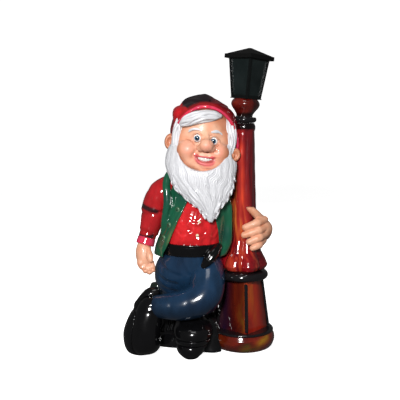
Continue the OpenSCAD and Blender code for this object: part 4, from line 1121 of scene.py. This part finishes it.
def sleeves():
    for side, course in SLEEVES.items():
        rows = np.array(course)
        clay = Clay(rows[:, :3].min(0) - 46, rows[:, :3].max(0) + 46, 1.9)
        clay.add(rod(course, 14))
        clay.cut(loft(WAISTCOAT, 0, 1.0), 1)
        for crease in CREASES[side]:
            ringed(clay, course, *crease)

        def paint(p, n, h, side=side):
            shaded = step_up(blotches(p, 80, 9), 0.0, 1.0)
            colour = mixed(plain(SLEEVE_RED, len(p)), RED, 0.7 * shaded)
            if side == "right":
                for line, width in SLEEVE_BANDS:
                    band = np.minimum(1.7 * near_curve(p, line, width), 1)
                    colour = mixed(colour, NEAR_BLACK, 0.95 * band)
            # Painted shade: the grooves of the creases go towards black
            return mixed(colour, NEAR_BLACK, step_up(h, 0.15, 1.5) * 0.85)

        sculpted(f"sleeve_{side}", clay, paint, "red", relax=8)
        cuff(side)


def beyond(at, way):
    """Everything past a plane through a point, in this direction."""

    def distance(x, y, z):
        return -((x - at[0]) * way[0] + (y - at[1]) * way[1] + (z - at[2]) * way[2])

    return Form([-WIDE] * 3, [WIDE] * 3, distance)


def cuff_paint(p, n, h):
    return mixed(plain(PINK, len(p)), RED_BRIGHT, 0.6 * step_up(blotches(p, 25, 3), -0.2, 1))


def cuff(side):
    """A short band round the wrist, cut square across the arm at both ends."""
    ends = np.array(CUFFS[side])
    clay = Clay(ends[:, :3].min(0) - 34, ends[:, :3].max(0) + 34, 1.3)
    clay.add(rod(CUFFS[side], 4))
    start, end = Vector(ends[0, :3]), Vector(ends[1, :3])
    ahead = (end - start).normalized()
    clay.cut(beyond(start - ahead * 4.0, -ahead), 4)
    clay.cut(beyond(end + ahead * 5.0, ahead), 4)
    sculpted(f"cuff_{side}", clay, cuff_paint, "red", crumbs=True)


def skin_paint(p, n, h):
    colour = mixed(plain(SKIN, len(p)), SKIN_WARM, 0.25 + 0.5 * step_up(blotches(p, 30, 7), -0.3, 1.0))
    # Painted shade between the fingers and in the grooves
    return mixed(colour, HAND_GROOVE_SHADE, step_up(h, 0.05, 0.9) * 0.8)


def finger(clay, course, radius, nail):
    """Three joints with a knuckle at the middle one, and a nail that faces this way."""
    rows = [[*p, radius * k] for p, k in zip(course, (1.0, 1.04, 0.9))]
    clay.add(rod(rows, 4), 2.5)
    clay.add(ball(course[1], radius * 1.1), 3)
    tip, nail = Vector(course[-1]), Vector(nail)
    clay.cut(ball(tip + nail * (radius * 0.95), (radius * 0.62, radius * 0.45, radius * 0.62)), 1.0)
    clay.add(ball(tip + nail * (radius * 0.66), (radius * 0.50, radius * 0.34, radius * 0.5)), 0.5)


def hands():
    clay = Clay((-198, -74, 228), (-134, 8, 352), 1.25)
    clay.add(rod([[-168, -20, 322, 19], [-170, -26, 296, 24], [-166, -30, 272, 23],
                  [-160, -32, 258, 15]], 5))
    for x, z, r in ((-180, 266, 9.5), (-168, 254, 10), (-156, 250, 10), (-146, 256, 9)):
        finger(clay, [(x, -38, z + 10), (x + 2, -44, z), (x + 5, -46, z - 10)], r, (0, -1, -0.1))
    finger(clay, [(-156, -38, 306), (-150, -48, 290), (-147, -54, 278)], 9.6, (0, -1, 0))
    sculpted("hand_right", clay, skin_paint, "skin", relax=2)
    clay = Clay((118, -76, 296), (232, 82, 436), 1.35)
    clay.add(rod([[188, 48, 332, 19], [194, 26, 346, 25], [192, 4, 362, 29], [188, -12, 366, 25]], 5))
    for course, r in ((((194, -18, 394), (170, -44, 389), (134, -44, 374)), 11.2),
                      (((199, -16, 372), (174, -46, 366), (132, -48, 352)), 11.6),
                      (((198, -14, 350), (176, -48, 345), (146, -53, 332)), 11.6),
                      (((192, -12, 330), (176, -47, 323), (156, -56, 314)), 10.6)):
        root, knuckle, tip = (Vector(p) for p in course)
        middle = (knuckle + tip) / 2 + Vector((2, -3, 1))
        clay.add(rod([[*root, r], [*knuckle, r * 1.06], [*middle, r * 0.98], [*tip, r * 0.86]], 4), 2.0)
        clay.add(ball(knuckle, r * 1.12), 2.5)
        clay.fold([middle + Vector((2, -r, 6)), middle + Vector((0, -r, -6))], -1.2, 1.6)
        nail = tip + Vector((3, -r * 0.72, 1.0))
        clay.add(ball(nail, (6.4, 2.4, 4.6), (0, 12, 8)), 0.4)
    clay.add(rod([[184, -12, 394, 13], [164, -36, 416, 12], [147, -44, 432, 9.6]], 5), 4)
    sculpted("hand_left", clay, skin_paint, "skin", relax=2)


# ---- Belt, legs and boots ----


def black_paint(p, n, h):
    # Lighter grey on the raised parts
    return mixed(plain(INK, len(p)), RAISED_EDGE_GREY, step_up(-h, 0.3, 1.4) * 0.4)


def belt():
    clay = Clay((-124, -100, 286), (82, 76, 334), 1.5)
    clay.add(loft([[292, -23, -5, 92, 81, 70], [296, -23, -5, 94, 83, 72], [324, -21, -6, 96, 86, 73],
                   [328, -21, -6, 94, 84, 71]], 2.5))
    for level in (298, 321):
        clay.waves(lambda x, y, z, seam=level: -1.1 * np.exp(-(((z - seam) / 1.7) ** 2)))
    sculpted("belt", clay, black_paint, "black", relax=1)
    clay = Clay((-8, -106, 252), (74, -40, 340), 1.2)
    clay.add(rod([[54, -60, 319, 12], [40, -76, 304, 16], [24, -84, 284, 15], [12, -86, 268, 10]], 6))
    clay.fold([(58, -74, 326), (42, -92, 308), (24, -99, 286), (10, -96, 268)], -2.2, 2.6)
    clay.fold([(44, -74, 322), (30, -88, 304), (14, -94, 286)], -1.6, 2.4)
    sculpted("belt_tail", clay, black_paint, "black", relax=1)


HIPS = [[168, -44, 6, 46, 36, 40], [182, -40, 6, 80, 54, 60], [204, -36, 4, 98, 66, 70],
        [230, -32, 1, 101, 73, 72], [258, -28, -2, 98, 76, 70], [284, -24, -4, 90, 75, 66],
        [300, -22, -5, 86, 74, 64]]
LEG_RIGHT = [[-80, 4, 236, 54], [-76, 6, 186, 48], [-58, 0, 144, 41], [-38, -14, 116, 38]]
LEG_CROSSED = [[16, -26, 252, 54], [22, -62, 214, 53], [8, -90, 174, 51], [-44, -98, 152, 45],
               [-96, -94, 147, 38], [-122, -90, 146, 34]]
HIP_FOLDS = [
    [(-120, -30, 270), (-96, -62, 244), (-60, -74, 232)],
    [(-128, -20, 238), (-106, -50, 214), (-70, -58, 206)],
    [(-124, -10, 206), (-104, -40, 186), (-74, -46, 180)],
    [(-112, -10, 174), (-92, -36, 156), (-62, -40, 154)],
    [(-94, -12, 146), (-74, -40, 132), (-44, -46, 132)],
    [(-76, -22, 124), (-50, -48, 118), (-16, -46, 124)],
    [(-60, -78, 292), (-50, -80, 262), (-34, -76, 236)],
    [(-10, -82, 290), (-8, -82, 266), (6, -76, 240)],
]
LEG_FOLDS = [
    [(-22, -78, 262), (14, -86, 248), (54, -70, 252)], [(-26, -104, 232), (10, -114, 216), (56, -102, 220)],
    [(-48, -142, 192), (-36, -146, 168), (-34, -140, 134)],
    [(-90, -128, 182), (-84, -134, 156), (-88, -128, 120)],
]


def trouser_paint(p, n, h):
    shaded = step_up(blotches(p, 130, 12), -0.3, 1.1)
    colour = mixed(plain(NAVY, len(p)), NAVY_SHADE, 0.6 * shaded)
    colour = mixed(colour, NAVY_LOW, 0.75 * step_up(-p[:, 2], -190, -130))
    # Painted shade in the grooves of the folds
    return mixed(colour, NAVY_GROOVE_SHADE, step_up(h, 0.2, 1.6) * 0.8)


def trousers():
    clay = Clay((-142, -90, 72), (82, 84, 302), 2.0)
    clay.add(loft(HIPS, 5))
    clay.add(rod(LEG_RIGHT, 14), 22)
    clay.keep(slab(106, 299.5), 3)
    for line in HIP_FOLDS:
        clay.fold(line, -3.0, 5.5)
        clay.fold([(x, y - 2, z + 12) for x, y, z in line], 1.4, 8.0)
    sculpted("trousers", clay, trouser_paint, "blue", relax=6)
    clay = Clay((-164, -158, 92), (82, 36, 314), 2.0)
    clay.add(rod(LEG_CROSSED, 14))
    for line in LEG_FOLDS:
        clay.fold(line, -1.8, 6.5)
    sculpted("trouser_leg_crossed", clay, trouser_paint, "blue", relax=14)


BOOT_RIGHT = [[50, -22, -72, 52, 64, 84], [62, -21, -72, 58, 69, 88], [80, -21, -70, 57, 66, 84],
              [96, -24, -58, 48, 54, 66], [110, -29, -38, 42, 44, 52], [124, -34, -24, 38, 38, 42]]
SOLE_RIGHT = [[36, -22, -72, 50, 60, 84], [40, -22, -72, 54, 66, 90], [52, -22, -72, 56, 68, 91]]
BOOT_LEFT = [[3, -164, -86, 20, 20, 20], [10, -164, -86, 36, 34, 34], [30, -163, -87, 47, 46, 46],
             [64, -164, -88, 48, 47, 46], [98, -159, -88, 45, 43, 42], [128, -151, -86, 41, 38, 38],
             [156, -143, -84, 36, 32, 32], [174, -137, -82, 24, 22, 22]]
SOLE_LEFT = [[0.5, -173, -80, 24, 26, 26], [8, -176, -78, 40, 36, 36], [30, -177, -78, 49, 46, 46],
             [66, -178, -79, 50, 47, 46], [100, -172, -79, 46, 42, 42], [130, -163, -76, 40, 36, 38]]


def boots():
    clay = Clay((-86, -146, 34), (42, 34, 134), 1.7)
    clay.add(loft(BOOT_RIGHT, 5))
    clay.fold([(-66, -84, 100), (-26, -110, 98), (18, -90, 100)], -1.4, 5.0)
    sculpted("boot_right", clay, black_paint, "black", relax=6)
    clay = Clay((-86, -148, 32), (42, 30, 58), 1.7)
    clay.add(loft(SOLE_RIGHT, 3))
    sculpted("sole_right", clay, black_paint, "black", ["boot_sole_right"], relax=5)
    clay = Clay((-216, -138, -2), (-108, -36, 178), 1.7)
    clay.add(loft(BOOT_LEFT, 6))
    for line in ([(-200, -112, 138), (-156, -126, 136), (-116, -112, 134)],
                 [(-196, -116, 152), (-148, -120, 150), (-110, -104, 148)],
                 [(-124, -128, 100), (-118, -112, 72), (-118, -98, 46)]):
        clay.fold(line, -1.4, 5.0)
    sculpted("boot_left", clay, black_paint, "black", relax=6)
    clay = Clay((-230, -130, -2), (-112, -34, 206), 1.8)
    clay.add(loft(SOLE_LEFT, 6))
    clay.add(rod([[-176, -62, 140, 22], [-150, -62, 172, 22], [-134, -62, 180, 18]], 4), 10)
    clay.cut(loft(BOOT_LEFT, 5, 0.4), 1.5)
    clay.keep(slab(0.5, 210), 1)
    sculpted("sole_left", clay, black_paint, "black", ["boot_sole_left"], crumbs=True)


def stump_paint(p, n, h):
    rusty = step_up(blotches(p, 60, 15), 0.0, 1.0)
    colour = mixed(plain(STUMP_GREEN, len(p)), STUMP_RUST, 0.6 * rusty)
    colour = mixed(colour, MOSS, 0.3 * step_up(blotches(p, 50, 16), 0.4, 1.2))
    return mixed(colour, INK, step_up(-p[:, 2], -150, -110))


def ground():
    """The stump behind the legs, with bark, and the black ground under the boots."""
    clay = Clay((-182, -16, -2), (-4, 92, 192), 2.0)
    clay.add(loft([[0, -92, 34, 84, 44, 46], [16, -92, 34, 78, 42, 44], [60, -94, 36, 66, 38, 40],
                   [120, -104, 38, 52, 33, 35], [176, -120, 42, 37, 26, 28], [186, -122, 42, 22, 16, 18]], 4))

    def bark(x, y, z):
        around = np.arctan2(y - 34, x + 98)
        return 1.3 * np.sin(around * 19 + 1.5 * np.sin(z / 17) + 0.8 * np.sin(z / 6)) - 0.6

    clay.waves(bark)
    clay.keep(slab(0.4, 200))
    sculpted("stump", clay, stump_paint, "stump")
    clay = Clay((-152, -140, -2), (86, 72, 154), 2.0)
    clay.add(loft([[0, -28, -70, 30, 72, 88], [12, -27, -72, 42, 68, 92], [26, -25, -74, 48, 64, 94],
                   [36, -22, -74, 50, 60, 94]], 2))
    clay.add(loft([[0, -34, 6, 116, 50, 72], [20, -34, 6, 108, 50, 68], [40, -32, 6, 92, 40, 60],
                   [46, -32, 6, 76, 30, 48]], 3), 6)
    clay.add(loft([[0, 32, -44, 50, 40, 50], [22, 34, -44, 46, 34, 46], [60, 28, -36, 36, 26, 40],
                   [98, 20, -26, 26, 20, 30]], 4), 8)
    clay.add(rod([[30, 6, 70, 26], [38, 10, 112, 20], [42, 12, 136, 11]]), 10)
    clay.waves(lambda x, y, z: 0.9 * np.sin(x / 9 + y / 13) * np.sin(z / 7 + y / 11))
    clay.cut(turned([(-5, 99), (28, 99), (40, 98), (50, 95), (60, 86)]))
    clay.keep(slab(0.4, 200))
    sculpted("ground_mound", clay, black_paint, "black", relax=5, crumbs=True)


# ---- Post and lantern ----

SHAFT = [(236.5, 54), (244, 70), (256, 77), (272, 71), (296, 57), (335, 45), (400, 40), (500, 36),
         (600, 34), (648, 32), (656, 31), (682, 30)]
SHAFT_TOP = [(643, 28), (656, 29), (664, 33), (673, 33), (682, 28)]
LOBES = 6


def petals(angle, z):
    """Lobes that swell like petals at the foot of the shaft and run up it as flutes, turning a little."""
    turn = math.radians(21) + np.clip((z - 240) / 420, 0, 1) * 0.35
    depth = 0.20 - 0.08 * np.clip((z - 260) / 120, 0, 1)
    fade = np.clip((668 - z) / 30, 0, 1)
    valley = np.abs(np.sin(LOBES / 2 * (angle - turn)))
    return 1 - depth * fade * (1 - valley**0.8) - 0.03 * fade


def post_shaft():
    """A turned shaft with grooves between the lobes of its foot, and a painted reflection down its front: a
    pale, mottled stripe.
    """
    clay = Clay((48, -84, 234), (216, 84, 684), 1.8)
    clay.add(turned(SHAFT, wave=petals))
    clay.add(turned(SHAFT_TOP), 2)
    for k in range(LOBES):
        middle = math.radians(21) + 2 * math.pi * (k + 0.5) / LOBES
        line = []
        for r, turn, z in ((66, 0.16, 244), (70, 0.1, 262), (56, 0, 292), (44, 0, 330)):
            line.append((POST_X + r * math.cos(middle + turn), r * math.sin(middle + turn), z))
        clay.fold(line, -1.6, 3.6)
    clay.waves(lambda x, y, z: 0.5 * np.sin(z / 12 + x / 9) * np.sin(y / 10 + z / 23))
    clay.keep(slab(236.6, 681.8))

    def paint(p, n, h):
        colour = mixed(plain((1, 1, 1), len(p)), (0.65, 0.22, 0.5), step_up(-p[:, 2], -400, -320))
        # Painted reflection: a pale, mottled stripe down the front of the shaft
        stripe = np.exp(-(((p[:, 0] - 124) / 7) ** 2)) * (p[:, 1] < 0) * step_up(p[:, 2], 400, 450)
        stripe *= 0.35 + 0.65 * step_up(blotches(p, 70, 31), -0.6, 0.6)
        colour = mixed(colour, (2.2, 3.4, 1.6), 0.8 * stripe * step_up(-p[:, 2], -640, -600))
        colour = mixed(colour, (0.35, 0.3, 0.5), 0.7 * step_up(p[:, 0], 150, 162))
        colour = mixed(colour, (0.02, 0.02, 0.05), step_up(p[:, 2], 661, 666))
        # Painted shade in the grooves and hollows
        return mixed(colour, (0.10, 0.03, 0.04), step_up(h, 0.1, 1.6) * 0.7)

    sculpted("post_shaft", clay, paint, "shaft", crumbs=True)


def plinth():
    """A four-sided tapering block with softly hollowed faces and rounded edges."""
    clay = Clay((44, -88, 48), (220, 88, 214), 1.9)

    def distance(x, y, z):
        half = np.interp(z, [50, 212], [80, 58]) / math.sqrt(2)
        turn = math.radians(50)
        u = (x - POST_X) * math.cos(turn) + y * math.sin(turn)
        v = y * math.cos(turn) - (x - POST_X) * math.sin(turn)
        side = -smooth_min(-(np.abs(u) - half), -(np.abs(v) - half), 8)
        across, along = (np.cos(np.clip(w / half, -1, 1) * math.pi / 2) for w in (u, v))
        hollow = 0.8 * across * along
        return np.maximum(side + hollow, np.maximum(50.1 - z, z - 211.9))

    clay.add(Form((48, -84, 50), (216, 84, 212), distance))
    clay.waves(lambda x, y, z: 0.4 * np.sin(x / 12 + z / 15) * np.sin(y / 11 + z / 21), 4)

    def paint(p, n, h):
        colour = plain((0.75, 0.6, 0.75), len(p))
        right = step_up(p[:, 0], POST_X - 6, POST_X + 14) * step_up(-p[:, 1], 0, 30)
        colour = mixed(colour, (2.6, 0.9, 0.9), 0.9 * right)
        lit = near_curve(p, [(168, -50, 190), (172, -52, 150), (182, -50, 80)], 12)
        colour = mixed(colour, (2.6, 7.5, 1.5), 0.8 * lit)
        olive = near_curve(p, [(118, -70, 200), (116, -74, 140), (114, -80, 66)], 12)
        colour = mixed(colour, (0.9, 6.0, 2.5), 0.75 * olive)
        left = step_up(-p[:, 0], -104, -72)
        return mixed(colour, (0.25, 0.9, 4.0), 0.85 * left)

    sculpted("plinth", clay, paint, "plinth", crumbs=True)


def foot_paint(p):
    """Olive black on the gnome's side, red brown in the middle, gold in two places."""
    colour = mixed(plain((0.45, 0.40, 0.30), len(p)), (0.75, 0.5, 0.6), step_up(p[:, 0], 70, 110))
    for course, width in (([(172, -96, 12), (186, -90, 30), (206, -72, 44)], 13),
                          ([(128, -100, 10), (142, -99, 16)], 12)):
        colour = mixed(colour, (1.4, 5.5, 0.9), 0.8 * near_curve(p, course, width))
    return colour


def capital_paint(p):
    """Black where the capital stands on its collar."""
    return mixed(plain((0.8, 0.55, 0.6), len(p)), (0.04, 0.04, 0.04), step_up(-p[:, 2], -718, -708))


NODE_PAINT = {"post_foot": foot_paint, "capital": capital_paint}

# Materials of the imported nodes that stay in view: by name, or by the first of these words in the name
NODE_FINISH = {
    "post_foot": MATERIALS["foot"], "capital": MATERIALS["capital"], "post_foot_rim": FINISHES["bead"],
    "plinth_corner_beads": FINISHES["bead"], "post_ring": FINISHES["bead"], "post_collar": FINISHES["bead"],
    "lantern_floor": FINISHES["iron"], "lantern_cage": FINISHES["iron"], "roof": FINISHES["roof"],
}
WORD_FINISH = {
    "tube": "brass", "nut": "brass", "screw": "steel", "plate": "grey", "grommet": "rubber", "block": "block",
    "wire": "wire", "holder": "white", "glass": "opal", "cap": "steel", "pin": "steel", "pane": "pane",
}
NODE_EDGES = {"post_foot": 0.0012, "lantern_floor": 0.0006, "lantern_cage": 0.0016, "roof": 0.0016}


def keep_in_view():
    """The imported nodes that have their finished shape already, with softened edges and a finish."""
    for name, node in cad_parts.items():
        if node.hide_render:
            continue
        material = NODE_FINISH.get(name)
        if material is None:
            word = next((word for word in WORD_FINISH if word in name), "plate")
            material = FINISHES[WORD_FINISH[word]]
        node.data.materials.clear()
        node.data.materials.append(material)
        if name in NODE_PAINT:
            places = np.empty(3 * len(node.data.vertices), np.float32)
            node.data.vertices.foreach_get("co", places)
            set_paint(node.data, NODE_PAINT[name](places.reshape(-1, 3) * 1000 + MIDDLE))
        if name in NODE_EDGES:
            bevel = node.modifiers.new("soft_edges", "BEVEL")
            bevel.width = NODE_EDGES[name]
            bevel.segments = 3
            bevel.limit_method = "ANGLE"
            bevel.angle_limit = math.radians(35)


# ---- Floor, light and camera ----

CAMERA_AT = (-0.001, -1.9815, 0.700)
CAMERA_DOWN = 7.1  # degrees below level
CAMERA_LENS = 60
AIR_LIGHT = 0.075  # strength of the even light from all round
LAMPS_AIM = (0, 0, 0.5)
# Each lamp: place, width, power, whether it shows in the gloss
LAMPS = {
    "key": ((-0.30, -2.2, 1.15), 0.34, 64, True),
    "left": ((-1.7, -1.1, 1.0), 0.9, 6, False),
    "right": ((1.7, -1.3, 0.9), 0.9, 6, False),
    "top": ((0.1, -0.9, 2.3), 0.8, 5, True),
    "back": ((-0.5, 2.4, 1.7), 1.6, 48, False),
}
PALE = (0.93, 0.93, 0.93)
PAPER_GLOW = 0.9  # the paper shines by itself, so that it stays pale behind the object
FLOOR_RADIUS = 4.5
FLOOR_BEND = 1.6  # radius of the curve that the floor rises into the wall by
WALL_HEIGHT = 6.0
WALL_SIDES = 72


def backdrop():
    """A round floor that curves up into a wall all the way round, as in a studio."""
    line = [(0.001, 0.0), (FLOOR_RADIUS, 0.0)]
    for a in np.radians(np.linspace(7.5, 90, 12)):
        line.append((FLOOR_RADIUS + FLOOR_BEND * math.sin(a), FLOOR_BEND * (1 - math.cos(a))))
    line.append((FLOOR_RADIUS + FLOOR_BEND, WALL_HEIGHT))
    points = []
    faces = []
    for i, (r, z) in enumerate(line):
        for k in range(WALL_SIDES):
            a = 2 * math.pi * k / WALL_SIDES
            points.append((r * math.cos(a), r * math.sin(a), z))
            here = i * WALL_SIDES + k
            beside = i * WALL_SIDES + (k + 1) % WALL_SIDES
            if i + 1 < len(line):
                faces.append((here, beside, beside + WALL_SIDES, here + WALL_SIDES))
    paper = mesh_of("studio_paper", points, faces)
    material, tree, shader = new_material("studio_paper")
    tint = ramp(tree, noise(tree, 3, 2), "Fac", [(0.3, PALE), (0.7, tuple(c * 1.02 for c in PALE))])
    link(tree, tint, "Color", shader, "Base Color")
    uneven(tree, shader, 90, 0.02, 0.7, 0.9, 12)
    shader.inputs["Emission Color"].default_value = (1, 1, 1, 1)
    shader.inputs["Emission Strength"].default_value = PAPER_GLOW
    paper.data.materials.append(material)
    paper.visible_glossy = False
    paper.visible_diffuse = False


def studio():
    backdrop()
    world = bpy.data.worlds.new("studio_air")
    world.use_nodes = True
    air = world.node_tree.nodes["Background"]
    air.inputs["Color"].default_value = (1, 1, 1, 1)
    air.inputs["Strength"].default_value = AIR_LIGHT
    bpy.context.scene.world = world
    for name, (at, size, power, shows) in LAMPS.items():
        lamp = bpy.data.lights.new(name, "AREA")
        lamp.size = size
        lamp.energy = power
        holder = bpy.data.objects.new(name, lamp)
        holder.location = at
        holder.visible_glossy = shows
        holder.rotation_euler = (Vector(LAMPS_AIM) - Vector(at)).to_track_quat("-Z", "Y").to_euler()
        bpy.context.scene.collection.objects.link(holder)


def camera():
    data = bpy.data.cameras.new("view")
    data.lens = CAMERA_LENS
    data.sensor_width = 36
    eye = bpy.data.objects.new("view", data)
    eye.location = CAMERA_AT
    eye.rotation_euler = (math.radians(90 - CAMERA_DOWN), 0, 0)
    bpy.context.scene.collection.objects.link(eye)
    bpy.context.scene.camera = eye
    bpy.context.scene.view_settings.view_transform = "Standard"


head()
eyes()
teeth()
beard()
hat_brim(hat())
hair()
shirt()
waistcoat()
sleeves()
hands()
belt()
trousers()
boots()
ground()
plinth()
post_shaft()
keep_in_view()
studio()
camera()
